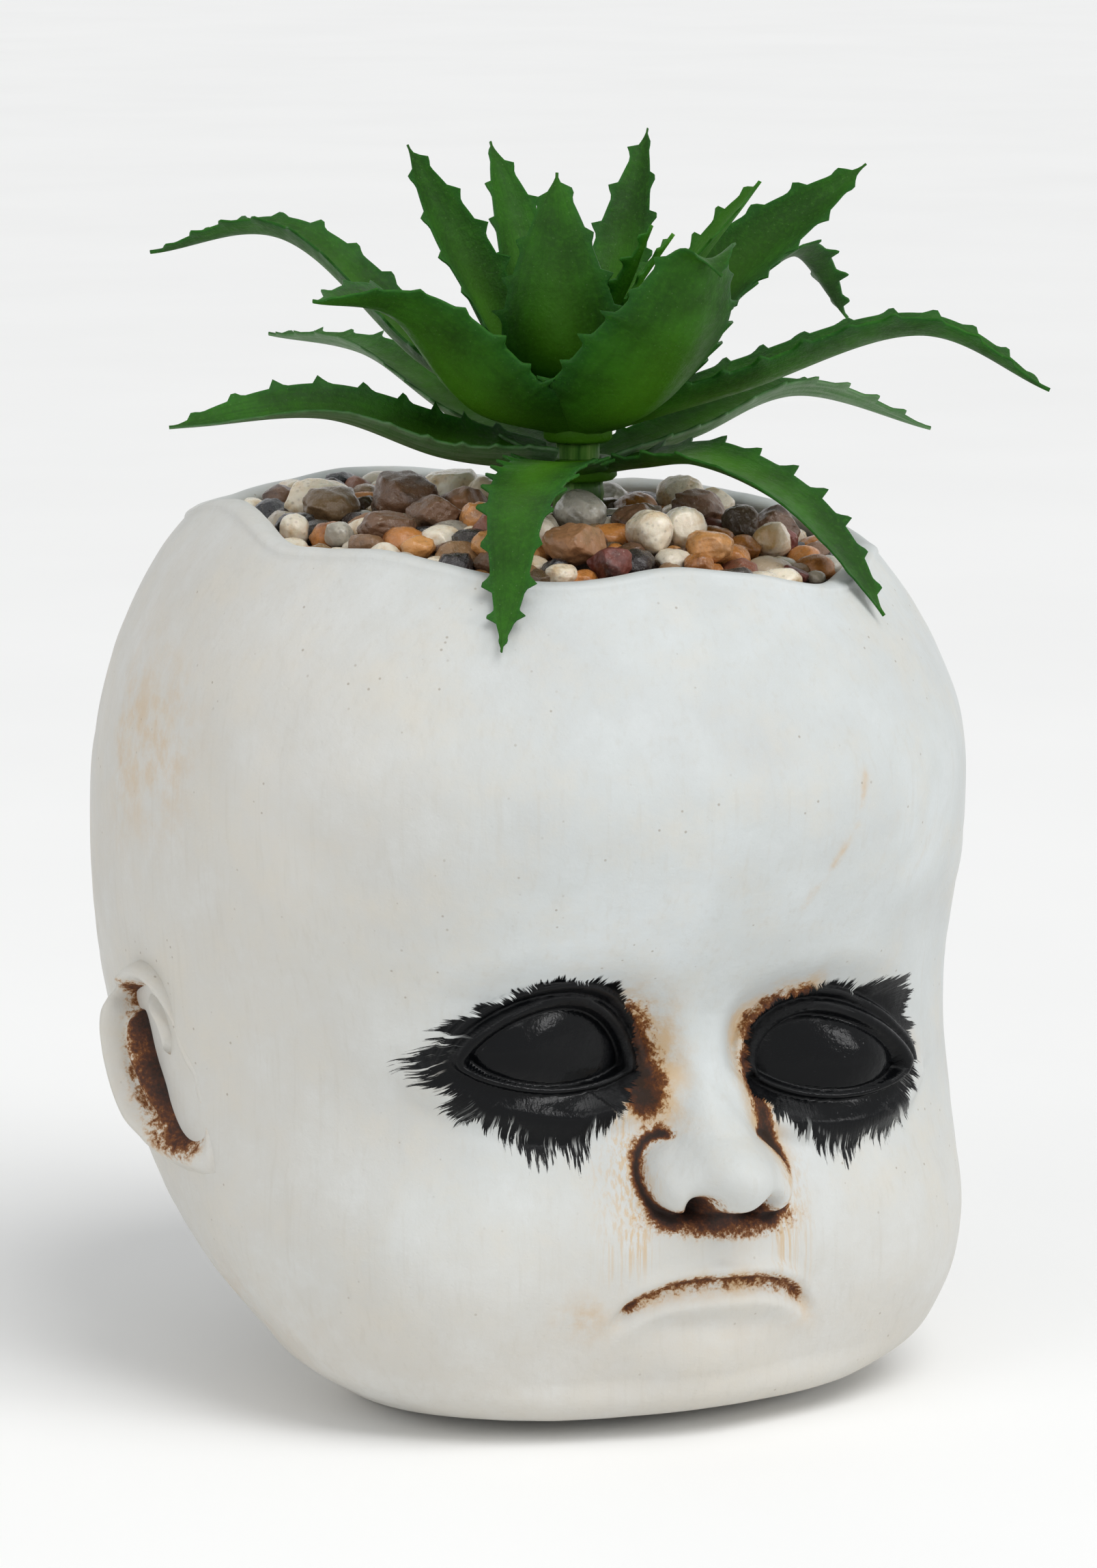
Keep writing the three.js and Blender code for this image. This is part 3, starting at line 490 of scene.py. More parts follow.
# Head material: pearly resin, brown wash in the creases, brushed black paint round the eyes
def resin_colour(s):
    """Resin, with painted shade that makes it warmer and a little darker below and on its -X side, and with
    blotches, brush marks, stains, runs and rare specks
    """
    base = s.colours(s.noise(26, 4, 0.6), [(0.3, "BFC2C1"), (0.52, "C6CAC9"), (0.72, "D1D6D7")])
    place = s.add("ShaderNodeSeparateXYZ", {0: s.place}).outputs
    # Painted shade: a warmer, slightly darker tint towards the base and on the -X side, standing in for the
    # shade there
    painted_warm_shade = s.math("MAXIMUM", s.step(place[2], 0.06, 0.005, 0, 0.7), s.step(place[0], -0.02, -0.06, 0, 0.6))
    base = s.mix(painted_warm_shade, base, linear("CAC4BA"))
    blotch = s.noise(70, 7, 0.7)
    base = s.tint(base, blotch, 0.45, 0.75, 0.4, "D0C8B8")
    base = s.tint(base, blotch, 0.52, 0.25, 0.3, "D6DADB")
    brushed = s.noise(1.0, 4, 0.6, s.stretched(900, 900, 45))
    base = s.tint(base, brushed, 0.5, 0.75, 0.2, "B9B4A9")
    stain = s.times(s.attribute("stain"), s.step(s.noise(160, 6, 0.7), 0.3, 0.68, 0.1, 1.3))
    base = s.tint(base, stain, 0.02, 1.0, 0.85, "C6A981")
    drip = s.noise(1.0, 5, 0.65, s.stretched(1900, 1900, 22))
    tears = s.times(s.attribute("tears"), s.step(drip, 0.42, 0.62, 0.15, 1.2))
    base = s.tint(base, tears, 0.03, 1.0, 0.7, "C6AA82")
    speck = s.step(s.cells(420), 0.05, 0.11, 1, 0)
    rare = s.step(s.noise(70, 2, 0.5), 0.5, 0.6, 0, 0.5)
    return s.mix(s.times(speck, rare), base, linear("857663"))


def wash_amount(s, crust):
    """The brown wash, broken up by its own crust and fine flecks"""
    washed = s.attribute("wash")
    flecks = s.math("MULTIPLY_ADD", s.noise(1700, 4, 0.65), 0.7, crust)
    scatter = s.times(s.math("SUBTRACT", flecks, 0.85), s.step(washed, 0.0, 0.3, 0, 1.6))
    return s.math("ADD", washed, scatter)


def paint_cover(s, stroke, bristle):
    """How much of a place the black paint covers: frayed along its strokes, and dry where it is thin"""
    inside, fray = s.attribute("paint"), s.attribute("fray")
    clump = s.math("SUBTRACT", s.noise(1.1, 3, 0.55, stroke), 0.5)
    hairs = s.math("MULTIPLY_ADD", s.math("SUBTRACT", bristle, 0.5), 0.9, clump)
    cover = s.step(s.math("MULTIPLY_ADD", hairs, fray, inside), -0.16, 0.16)
    dry = s.step(s.noise(3.4, 4, 0.65, stroke), 0.38, 0.45)
    solid = s.math("MAXIMUM", s.step(inside, 0.2, 3.2), s.step(fray, 12, 8))
    return s.times(cover, s.math("MAXIMUM", dry, solid))


def resin_material():
    s = Shader("painted_resin")
    crust = s.noise(340, 9, 0.72)
    wash = wash_amount(s, crust)
    stroke = s.attribute("stroke", "Vector")
    bristle = s.noise(6.5, 5, 0.7, stroke)
    paint = paint_cover(s, stroke, bristle)
    wash_colour = s.colours(wash, [(0.06, "D8C3A0"), (0.22, "B98F5C"), (0.42, "744218"), (0.66, "45200C"),
                                   (1.0, "220F07")])
    base = s.mix(s.step(wash, 0.06, 0.4, 0, 0.97), resin_colour(s), wash_colour)
    black = s.tint(linear("07080A"), s.noise(1300, 3, 0.6), 0.68, 0.78, 0.12, "34343A")
    s.set(Base_Color=s.mix(paint, base, black), Specular_IOR_Level=0.15)
    resin_rough = s.step(s.noise(90, 4, 0.6), 0.3, 0.7, 0.38, 0.52)
    washed_rough = s.blend(s.step(wash, 0.1, 0.5), resin_rough, 0.62)
    paint_rough = s.step(s.noise(700, 4, 0.6), 0.3, 0.7, 0.11, 0.19)
    s.set(Roughness=s.blend(paint, washed_rough, paint_rough))
    grain = s.bump(s.noise(230, 4, 0.6), 0.16, 0.0012)
    grain = s.bump(s.noise(900, 4, 0.6), 0.2, 0.0003, grain)
    grain = s.bump(s.step(s.cells(520), 0.03, 0.16), 0.12, 0.0003, grain)
    grain = s.bump(s.times(s.step(wash, 0.15, 0.6), crust), 0.4, 0.0008, grain)
    near_brush = s.times(s.step(s.attribute("paint"), 6.0, 2.0), bristle)
    s.set(Normal=s.bump(s.times(paint, near_brush), 0.3, 0.0006, grain))
    return s.material


# Places painted on the head, in face coordinates
EYE_PAINT = {
    # direction in degrees from the eye's middle (0 is outward, 90 up), and how far the paint goes
    -1: curve_through([
        (-225, 13.7), (-200, 13.4), (-180, 13.4), (-155, 13.6), (-127, 13.7), (-109, 15.3), (-91, 14.9),
        (-66, 14.2), (-55, 13.6), (-41, 16), (-24, 16.6), (-13, 18.4), (0, 17.8), (8, 16.2), (26, 13.4),
        (57, 11), (91, 11.4), (113, 12.4), (127, 13.5), (140, 13.7), (163, 13.4), (186, 13.4), (205, 13.6),
    ]),
    1: curve_through([
        (-225, 10.3), (-206, 12.2), (-186, 12.8), (-170, 13.4), (-158, 14.4), (-146, 13.3), (-127, 12.6),
        (-114, 12.9), (-84, 15), (-67, 15.2), (-51, 16.9), (-33, 17.8), (-20, 16.6), (-7, 16.8), (4, 17.3),
        (17, 16.3), (29, 17.9), (42, 15.6), (56, 11.6), (80, 10.2), (111, 9.8), (137, 11), (154, 12.2),
        (174, 12.8), (190, 13.4), (202, 14.4),
    ]),
}
# How far the brush strokes fray the edge of the paint: most outward and below, least by the nose
PAINT_FRAY = {
    -1: curve_through([(-225, 4), (-180, 3), (-150, 5), (-120, 10), (-85, 14), (-50, 10), (-25, 9), (-8, 14),
                       (4, 13), (20, 6), (50, 4), (90, 5), (130, 5), (160, 3), (180, 3), (210, 5)]),
    1: curve_through([(-225, 4), (-180, 3), (-150, 4), (-120, 8), (-85, 13), (-50, 13), (-20, 9), (5, 8),
                      (20, 8), (45, 8), (70, 6), (100, 5), (130, 4), (160, 3), (180, 3), (210, 4)]),
}
EYE_PAINT_RISE = 2.2
NO_PAINT = -50.0
STROKE_TURNS = 6
STROKE_LENGTH = 34
STROKE_WIDTH = 2.2
STROKES_RUN_DOWN = -0.65


def eye_paint(x, z):
    """How far inside the black paint a place is, how frayed its edge is, and its place in the strokes"""
    fx, fz = face_place(x, z)
    inside = np.full(np.shape(x), NO_PAINT)
    fray = np.zeros(np.shape(x))
    stroke = np.zeros(np.shape(x) + (3,))
    for side in (-1, 1):
        out = fx * side - EYE_SPACING / 2
        up = fz - EYE_HEIGHT - EYE_PAINT_RISE
        direction = np.arctan2(up, out)
        far = np.hypot(out, up)
        here = EYE_PAINT[side](np.degrees(direction)) - far
        mine = fx * side > 0
        inside = np.where(mine, here, inside)
        fray = np.where(mine, PAINT_FRAY[side](np.degrees(direction)), fray)
        swept = direction + 0.02 * far
        along = np.stack([np.cos(swept) * STROKE_TURNS, np.sin(swept) * STROKE_TURNS * 1.2,
                          far / STROKE_LENGTH + 20 * side], axis=-1)
        down = np.stack([out / STROKE_WIDTH, np.full(np.shape(out), 9.0),
                         up / STROKE_LENGTH + 20 * side], axis=-1)
        below = np.sin(direction) < STROKES_RUN_DOWN
        along = np.where(below[..., None], down, along)
        stroke = np.where(mine[..., None], along, stroke)
    return inside, fray, stroke


CRACKS = [
    ([(21.6, 96.3), (19.9, 89.1), (16.3, 83.1), (12.6, 77.4)], 0.4),
    ([(28.5, 89.5), (26, 82.9)], 0.2),
    ([(37, 85.2), (34.9, 80.9)], 0.2),
]
WASH_PATHS = [
    # line in face coordinates, half width and strength
    ([(-9.6, 61), (-7.8, 56), (-8, 49.5)], 2.5, 0.72),
    ([(-9, 54), (-8.6, 49)], 1.7, 0.35),
    ([(9.8, 48), (9, 54), (10.6, 59.4), (14, 62.8), (18, 64)], 1.9, 0.72),
    ([(10.4, 46.5), (12, 40.5)], 1.5, 0.55),
    ([(36.5, 57), (36.8, 54)], 1.2, 0.25),
]
# Spots in face coordinates: middle, half sizes and strength
NOSE_BASE_WASH = [(0, 33.7, 9.5, 1.3, 0.75), (0, 31.9, 10.5, 1.7, 0.5)]
NOSTRIL_WASH = [(NOSTRIL_ASIDE, NOSTRIL_HEIGHT, 1.6, 1.5, 1.0)]
MIDDLE_STAINS = [(-19, 18.5, 4.5, 4.2, 0.5), (17, 19, 4, 4, 0.3), (0, 16, 16, 4, 0.2), (0, 30, 13, 2.5, 0.25)]
PAIRED_STAINS = [(6, 60, 3, 6, 0.2), (38, 53, 4, 4, 0.3)]
# Spots on the side of the head, by how far back and how high
SIDE_STAINS = [(2, 98, 12, 15, 0.5), (16, 96, 7, 18, 0.35), (0, 16, 26, 10, 0.3)]


def brown_wash(x, z):
    """Dark brown wash in the creases of the face"""
    fx, fz = face_place(x, z)
    across = fx - NOSE_MIDDLE
    side = np.abs(across)
    along, over = mouth_place(fx, fz)
    total = np.zeros(np.shape(fx))
    for path, half_width, strength in WASH_PATHS:
        total += strength * hill(distance_to_path(fx, fz, path) / half_width)
    crease_way = np.hypot((side - 6.1) / 5.3, (fz - WING_HEIGHT) / 5.9)
    round_wing = ramp(5.5, 8.5, side)
    total += (0.85 * hill((crease_way - 1.02) / 0.09) + 0.45 * hill((crease_way - 1.12) / 0.16)) * round_wing
    total += spots(across, fz, NOSE_BASE_WASH) + spots(side, fz, NOSTRIL_WASH)
    fade = np.exp(-along ** 8)
    total += (0.36 * hill(over / 0.95) + 0.22 * ramp(0.5, -0.3, over) * ramp(-3.6, -1.2, over)) * fade
    total += 0.4 * hill((np.abs(along) - 0.95) / 0.11, (over + 0.3) / 1.1)
    return total


def tan_stain(x, y, z):
    """Thin warm stains: patches, round the mouth and the wash, and along hairline cracks"""
    fx, fz = face_place(x, z)
    along, over = mouth_place(fx, fz)
    lips = 0.75 * np.exp(-along ** 6) * hill((over + 0.8) / 2.2)
    halo = np.zeros(np.shape(fx))
    for path, half_width, strength in WASH_PATHS:
        halo = np.maximum(halo, 1.3 * strength * hill(distance_to_path(fx, fz, path) / (2.2 * half_width)))
    total = spots(fx, fz, MIDDLE_STAINS) + spots(np.abs(fx), fz, PAIRED_STAINS) + lips + halo
    for path, strength in CRACKS:
        near = distance_to_path(x, z, path)
        total = total + strength * (hill(near / 0.7) + 0.35 * hill(near / 2.6))
    return np.where(y < 0, total, 0) + np.where(x < -35, spots(y, z, SIDE_STAINS), 0)


def tear_streaks(x, y, z):
    """Where thin brown runs go down the face from the eyes"""
    fx, fz = face_place(x, z)
    side = np.abs(fx)
    near = 0.8 * hill((side - 11.2) / 2.2) * ramp(22, 30, fz) * (1 - ramp(47, 52, fz))
    far = 0.4 * hill((side - 15) / 3) * ramp(18, 27, fz) * (1 - ramp(38, 46, fz))
    return np.where(y < 0, near + far, 0)


# Head casting
FRONT_CROWDING = 0.62
HEAD_COLUMNS = 640
FACE_TOP = 76
FACE_ROWS = 290
CROWN_ROWS = 60
LIP_ROWS = 12
INNER_ROWS = 16
HEAD_HEART = (0, 10, 60)
# Unevenness of the casting: heights and lengths of its waves
CASTING_WAVES = [(0.16, 22), (0.05, 7)]
PAINTED_HALF_WIDTH = 56
EAR_STAIN = 0.15


def head_angles():
    turn = 2 * math.pi * np.arange(HEAD_COLUMNS) / HEAD_COLUMNS
    return turn - FRONT_CROWDING * np.sin(turn)


def outer_rows(angles):
    """Rows of the outside of the head from the base to the rim, with the face pushed out"""
    face = np.linspace(0, 1, FACE_ROWS)[:, None] * FACE_TOP * np.ones_like(angles)
    edge = rim_height(angles) - LIP_ROUNDING
    crown = FACE_TOP + (edge - FACE_TOP) * (np.arange(1, CROWN_ROWS + 1)[:, None] / CROWN_ROWS)
    z = np.concatenate([face, crown])
    angle = np.broadcast_to(angles, z.shape)
    x, y = section_point(z, angle, 0)
    ahead = np.cos(angle)
    push = np.where(ahead > 0, face_relief(x, z) * np.clip(2 * ahead, 0, 1), 0)
    return np.stack([x + push * np.sin(angle), y - push * ahead, z], axis=-1)


def rim_and_inside(angles):
    """Rows over the rounded lip and down the inner wall"""
    edge = rim_height(angles) - LIP_ROUNDING
    rows = []
    for turn in np.linspace(0.15, math.pi, LIP_ROWS):
        inset = WALL * (1 - math.cos(turn)) / 2
        z = edge + LIP_ROUNDING * math.sin(turn) ** 0.7
        x, y = section_point(edge, angles, inset)
        rows.append(np.stack([x, y, z], axis=-1))
    for share in np.linspace(0.08, 1, INNER_ROWS):
        z = edge + (FLOOR_THICKNESS - edge) * share
        x, y = section_point(z, angles, WALL)
        rows.append(np.stack([x, y, z], axis=-1))
    return np.stack(rows)


def head_casting(material):
    angles = head_angles()
    rows = np.concatenate([outer_rows(angles), rim_and_inside(angles)])
    points = rows.reshape(-1, 3)
    rng = np.random.default_rng(HEAD_SEED)
    normal = points - np.array(HEAD_HEART)
    normal /= np.linalg.norm(normal, axis=1)[:, None]
    above = ramp(0.5, 6, points[:, 2])[:, None]
    uneven = sum(height * waves(points, rng, 14, length) for height, length in CASTING_WAVES)
    points = points + normal * above * uneven[:, None]
    points, faces = closed_tube(points.reshape(rows.shape), (0, 0, 0), (0, 0, FLOOR_THICKNESS))
    x, y, z = points.T
    paint, fray, stroke = eye_paint(x, z)
    front = (y < 0) & (np.abs(x) < PAINTED_HALF_WIDTH)
    parts = Parts()
    parts.add(points, faces, paint=np.where(front, paint, NO_PAINT), fray=fray, stroke=stroke,
              wash=np.where(front, brown_wash(x, z), 0), stain=tan_stain(x, y, z),
              tears=tear_streaks(x, y, z))
    for side in (-1, 1):
        points, faces, wash = ear(side)
        bare = np.zeros(len(points))
        parts.add(points, faces, paint=bare + NO_PAINT, fray=bare, stroke=np.zeros((len(points), 3)),
                  wash=wash, stain=bare + EAR_STAIN, tears=bare)
    return parts.make("head_casting", [material])


# Ear: outline by direction from its middle, a rolled rim, an inner fold and a deep bowl near the front
EAR_OUTLINE = [
    (-128, 18.4), (-120, 17.2), (-104, 15), (-85, 13.3), (-66, 11.6), (-48, 11.2), (-25, 11.2), (-5, 11.7),
    (12, 12.8), (25, 14), (40, 15.2), (52, 15.9), (64, 16.8), (76, 16.9), (90, 15.6), (104, 12.8), (120, 10),
    (145, 9), (170, 9.8), (195, 11.4), (215, 13.6), (232, 18.4),
]
EAR_BOWL_PATH = [(20, 10.2), (16.6, 9.6), (14.6, 6), (13, 2), (10.8, -2.3), (8.6, -5.8)]
EAR_WASH_PATH = [(18.2, 10.4), (17, 9), (16, 6), (14.4, 2), (12.2, -2.3), (9.8, -6)]
EAR_DIRECTIONS = 120
EAR_RINGS = 34
EAR_EDGE = 1.4
EAR_THICKNESS = 3.4
EAR_BACK = EAR_EDGE + EAR_THICKNESS


def ear(side):
    outline = curve_through(EAR_OUTLINE)
    direction = np.linspace(-128, 232, EAR_DIRECTIONS, endpoint=False)
    reach = outline(direction)
    share = np.linspace(0, 1, EAR_RINGS)[1:, None]
    back = EAR_MIDDLE_BACK + share * reach * np.cos(np.radians(direction))
    high = share * reach * np.sin(np.radians(direction))
    from_edge = (1 - share) * reach
    rolled = ramp(-95, -40, direction) * (1 - ramp(150, 200, direction))
    rim = 2.9 * hill((from_edge - 1.7) / 1.7) * (0.35 + 0.65 * rolled)
    groove = -0.9 * hill((from_edge - 4.3) / 1.0) * rolled
    fold = 1.7 * hill((from_edge - 7.2) / 2.2) * rolled * (direction < 110)
    bowl_way = distance_to_path(back, high, EAR_BOWL_PATH)
    bowl = -4.6 * hill(bowl_way / (1.7 + 1.5 * ramp(8, -5, high)))
    lobe = 1.2 * hill((back - 9) / 5, (high + 12) / 4)
    front_edge = np.maximum(ramp(88, 118, direction), ramp(-66, -108, direction))
    sunk = -EAR_SINK * front_edge * (1 - ramp(0.3, 4.2, from_edge))
    face = 1.0 + rim + groove + fold + bowl + lobe + sunk
    rounding = np.sqrt(np.clip(1 - (1 - np.clip(from_edge / EAR_EDGE, 0, 1)) ** 2, 0, 1))
    face = -EAR_EDGE + (face + EAR_EDGE) * rounding
    behind = -EAR_THICKNESS * np.ones_like(face) * np.sqrt(np.clip(1 - share ** 6, 0, 1)) - EAR_EDGE
    grid = np.stack([np.concatenate(layers) for layers in (
        (back, back[::-1][1:]), (high, high[::-1][1:]), (face, behind[::-1][1:]))], axis=-1)
    middle = float(np.mean(face[0]))
    flat, faces = closed_tube(grid, (EAR_MIDDLE_BACK, 0, middle), (EAR_MIDDLE_BACK, 0, -EAR_BACK))
    (front_x, front_y), flare = EAR_SEATS[side]
    along = np.array([side * math.sin(flare), math.cos(flare), 0])
    out = np.array([side * math.cos(flare), -math.sin(flare), 0])
    up = np.array([0, math.sin(EAR_TILT), math.cos(EAR_TILT)])
    start = np.array([front_x, front_y, EAR_MIDDLE_Z])
    points = start + flat[:, :1] * along + flat[:, 1:2] * up + flat[:, 2:] * out
    band = 2.1 + 2.3 * ramp(9, -4, flat[:, 1])
    wash = hill(distance_to_path(flat[:, 0], flat[:, 1], EAR_WASH_PATH) / band)
    scapha = np.concatenate([(0.16 * hill((from_edge - 3.9) / 0.6) * rolled).ravel(),
                             np.zeros(len(flat) - face.size)])
    wash = np.where(flat[:, 2] > 0.2 - EAR_BACK, wash + scapha, 0)
    if side > 0:
        faces = [face[::-1] for face in faces]
    return points, faces, wash


# Stones
STONE_LOOKS = {
    # light colour, dark colour, roughness, how see-through, how angular
    "cream": ("F2E8D4", "CBAA78", 0.2, 0.35, 0.3),
    "tan": ("C88444", "784420", 0.26, 0.1, 0.5),
    "brown": ("745640", "281A12", 0.32, 0.0, 0.9),
    "dark": ("222227", "0A0A0C", 0.24, 0.0, 0.8),
    "grey": ("B8B4A8", "7A766A", 0.2, 0.25, 0.15),
    "purple": ("70382F", "2E1616", 0.4, 0.0, 0.8),
}
STONE_KINDS = list(STONE_LOOKS)


def stone_material(kind):
    light, dark, rough, clear, angular = STONE_LOOKS[kind]
    s = Shader("stone_" + kind)
    offset = s.attribute("own", "Vector")
    place = s.add("ShaderNodeVectorMath", {0: s.place, 1: offset}, operation="ADD").outputs[0]
    cloud = s.noise(190, 5, 0.62, place, 0.6)
    base = s.colours(cloud, [(0.3, dark), (0.5, light), (0.75, light)])
    tone = s.attribute("tone")
    base = s.tint(base, tone, 0.5, 1.0, 0.4, "C9A06A")
    base = s.tint(base, tone, 0.5, 0.0, 0.35, "4A3426")
    base = s.tint(base, s.cells(900, place), 0.3, 0.12, 0.25, "3A2A20")
    grain = s.noise(1500, 4, 0.65, place)
    base = s.tint(base, grain, 0.6, 0.75, 0.3, "EFE6D4")
    s.set(Base_Color=base, Roughness=s.step(grain, 0.3, 0.7, rough - 0.1, rough + 0.12))
    s.set(Subsurface_Weight=clear, Subsurface_Radius=(0.6, 0.45, 0.3), Subsurface_Scale=0.003)
    bumped = s.bump(s.noise(650, 5, 0.65, place), 0.25 + 0.3 * angular, 0.0006)
    s.set(Normal=s.bump(grain, 0.2 * angular + 0.05, 0.0002, bumped))
    return s.material


def ball(level):
    """Points and faces of a subdivided icosahedron of radius 1"""
    ratio = (1 + math.sqrt(5)) / 2
    signs = [(a, b * ratio) for b in (1, -1) for a in (-1, 1)]
    corners = [(a, b, 0) for a, b in signs] + [(0, a, b) for a, b in signs] + [(b, 0, a) for a, b in signs]
    faces = [(0, 11, 5), (0, 5, 1), (0, 1, 7), (0, 7, 10), (0, 10, 11), (1, 5, 9), (5, 11, 4), (11, 10, 2),
             (10, 7, 6), (7, 1, 8), (3, 9, 4), (3, 4, 2), (3, 2, 6), (3, 6, 8), (3, 8, 9), (4, 9, 5),
             (2, 4, 11), (6, 2, 10), (8, 6, 7), (9, 8, 1)]
    points = [np.array(c) / np.linalg.norm(c) for c in corners]
    for _ in range(level):
        middles = {}

        def middle(a, b):
            key = (min(a, b), max(a, b))
            if key not in middles:
                both = points[a] + points[b]
                middles[key] = len(points)
                points.append(both / np.linalg.norm(both))
            return middles[key]

        split = []
        for a, b, c in faces:
            ab, bc, ca = middle(a, b), middle(b, c), middle(c, a)
            split += [(a, ab, ca), (b, bc, ab), (c, ca, bc), (ab, bc, ca)]
        faces = split
    return np.array(points), faces


STONE_LEVEL = 4
LAYER_LEVEL = 3
BALLS = {level: ball(level) for level in (LAYER_LEVEL, STONE_LEVEL)}


def stone_shape(rng, level, angular):
    """A lumpy pebble that fills a box of half size 1, with a few worn flats if it is angular"""
    points = BALLS[level][0].copy()
    points = points * (1 + 0.07 * waves(points, rng, 8, 1.6))[:, None]
    for _ in range(int(3 + 9 * angular)):
        direction = rng.normal(size=3)
        direction /= np.linalg.norm(direction)
        limit = rng.uniform(0.62, 0.92) if angular > 0.5 else rng.uniform(0.78, 0.97)
        over = np.clip(points @ direction - limit, 0, None)
        points = points - (0.85 * over)[:, None] * direction
    points = points * (1 + (0.012 + 0.02 * angular) * waves(points, rng, 10, 0.42))[:, None]
    low, high = points.min(axis=0), points.max(axis=0)
    return (points - (low + high) / 2) / ((high - low) / 2)


def own_values(rng, count):
    return np.tile(rng.uniform(-1, 1, 3), (count, 1)), np.full(count, rng.uniform(0, 1))


STONE_GROWTH = np.array([1.12, 1.12, 1.08])


def separate_stones(materials):
    """One fine stone in the place of each separate stone of the frame"""
    for name in sorted(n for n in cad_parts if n.startswith("pebble_")):
        _, number, kind = name.split("_")
        rng = np.random.default_rng(STONE_SEED + int(number))
        low, high = (np.array(corner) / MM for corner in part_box(name))
        shape = stone_shape(rng, STONE_LEVEL, STONE_LOOKS[kind][4])
        points = (low + high) / 2 + shape * (high - low) / 2 * STONE_GROWTH
        own, tone = own_values(rng, len(points))
        parts = Parts()
        parts.add(points, BALLS[STONE_LEVEL][1], own=own, tone=tone)
        piece = parts.make(f"stone_{number}_{kind}", [materials[kind]])
        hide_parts(name)
        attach(piece, "pot")


# Gravel bed
BED_EDGE = CROWN_HEIGHT - BED_BELOW_RIM
MOUTH_Z = BED_EDGE + STONE_TOPS
MOUTH_FRONT = HEAD_DEPTH * float(front_share(MOUTH_Z / CROWN_HEIGHT))
MOUTH_BACK = HEAD_DEPTH * float(back_share(MOUTH_Z / CROWN_HEIGHT))
MOUTH_HALF_X = HEAD_WIDTH * float(half_width_share(MOUTH_Z / CROWN_HEIGHT)) - WALL - FIT
MOUTH_HALF_Y = (MOUTH_FRONT + MOUTH_BACK) / 2 - WALL - FIT
MOUTH_X = HEAD_LEAN * (LEAN_HEIGHT - MOUTH_Z)
MOUTH_Y = (MOUTH_BACK - MOUTH_FRONT) / 2
BED_THICKNESS = 11.5
BED_SIDES = 96
WALL_SAMPLES = 400
# Stones of the layer: tries from the largest to the smallest, how far out, and how close to each other
LAYER_TRIES = 9000
LAYER_LARGEST = 3.6
LAYER_SHRINK = 2.3
LAYER_REACH = 1.3
LAYER_CROWDING = 0.76
HEAP_RISE = 4
LAYER_KINDS = ["cream", "tan", "brown", "dark", "dark", "grey", "purple", "tan", "cream", "brown", "dark"]


def wall_room(x, y, z):
    """Distance from a place to the inner wall, measured away from the middle of the mouth"""
    angles = np.linspace(0, 2 * math.pi, WALL_SAMPLES)
    wall_x, wall_y = section_point(np.full(WALL_SAMPLES, float(z)), angles, WALL + FIT)
    direction = np.arctan2(wall_y - MOUTH_Y, wall_x - MOUTH_X)
    order = np.argsort(direction)
    reach = np.hypot(wall_x - MOUTH_X, wall_y - MOUTH_Y)
    here = np.interp(math.atan2(y - MOUTH_Y, x - MOUTH_X), direction[order], reach[order], period=2 * math.pi)
    return here - math.hypot(x - MOUTH_X, y - MOUTH_Y)


def mouth_share(x, y):
    return np.hypot((x - MOUTH_X) / MOUTH_HALF_X, (y - MOUTH_Y) / MOUTH_HALF_Y)


def bed_height(x, y):
    return BED_EDGE + BED_DOME * np.clip(1 - mouth_share(x, y) ** 4, 0, 1)


def earth_material():
    s = Shader("gravel_fines")
    cloud = s.noise(300, 5, 0.65)
    s.set(Base_Color=s.colours(cloud, [(0.3, "1E150E"), (0.5, "3A2B1F"), (0.72, "5C4836")]), Roughness=0.85)
    s.set(Normal=s.bump(s.noise(700, 5, 0.7), 0.7, 0.001))
    return s.material


def bed_surface():
    """Closed layer between the foam and the stones, inside the casting"""
    angles = np.linspace(0, 2 * math.pi, BED_SIDES, endpoint=False)
    low = BED_EDGE - BED_THICKNESS
    rows = []
    for height in (low, BED_EDGE - 6, BED_EDGE):
        z = np.full(BED_SIDES, float(height))
        x, y = section_point(z, angles, WALL + FIT)
        rows.append(np.stack([x, y, z], axis=-1))
    for share in np.linspace(0.95, 0.12, 18):
        px, py = STEM_X + (x - STEM_X) * share, STEM_Y + (y - STEM_Y) * share
        rows.append(np.stack([px, py, bed_height(px, py)], axis=-1))
    top = bed_height(STEM_X, STEM_Y)
    return closed_tube(np.stack(rows), (STEM_X, STEM_Y, low), (STEM_X, STEM_Y, top))


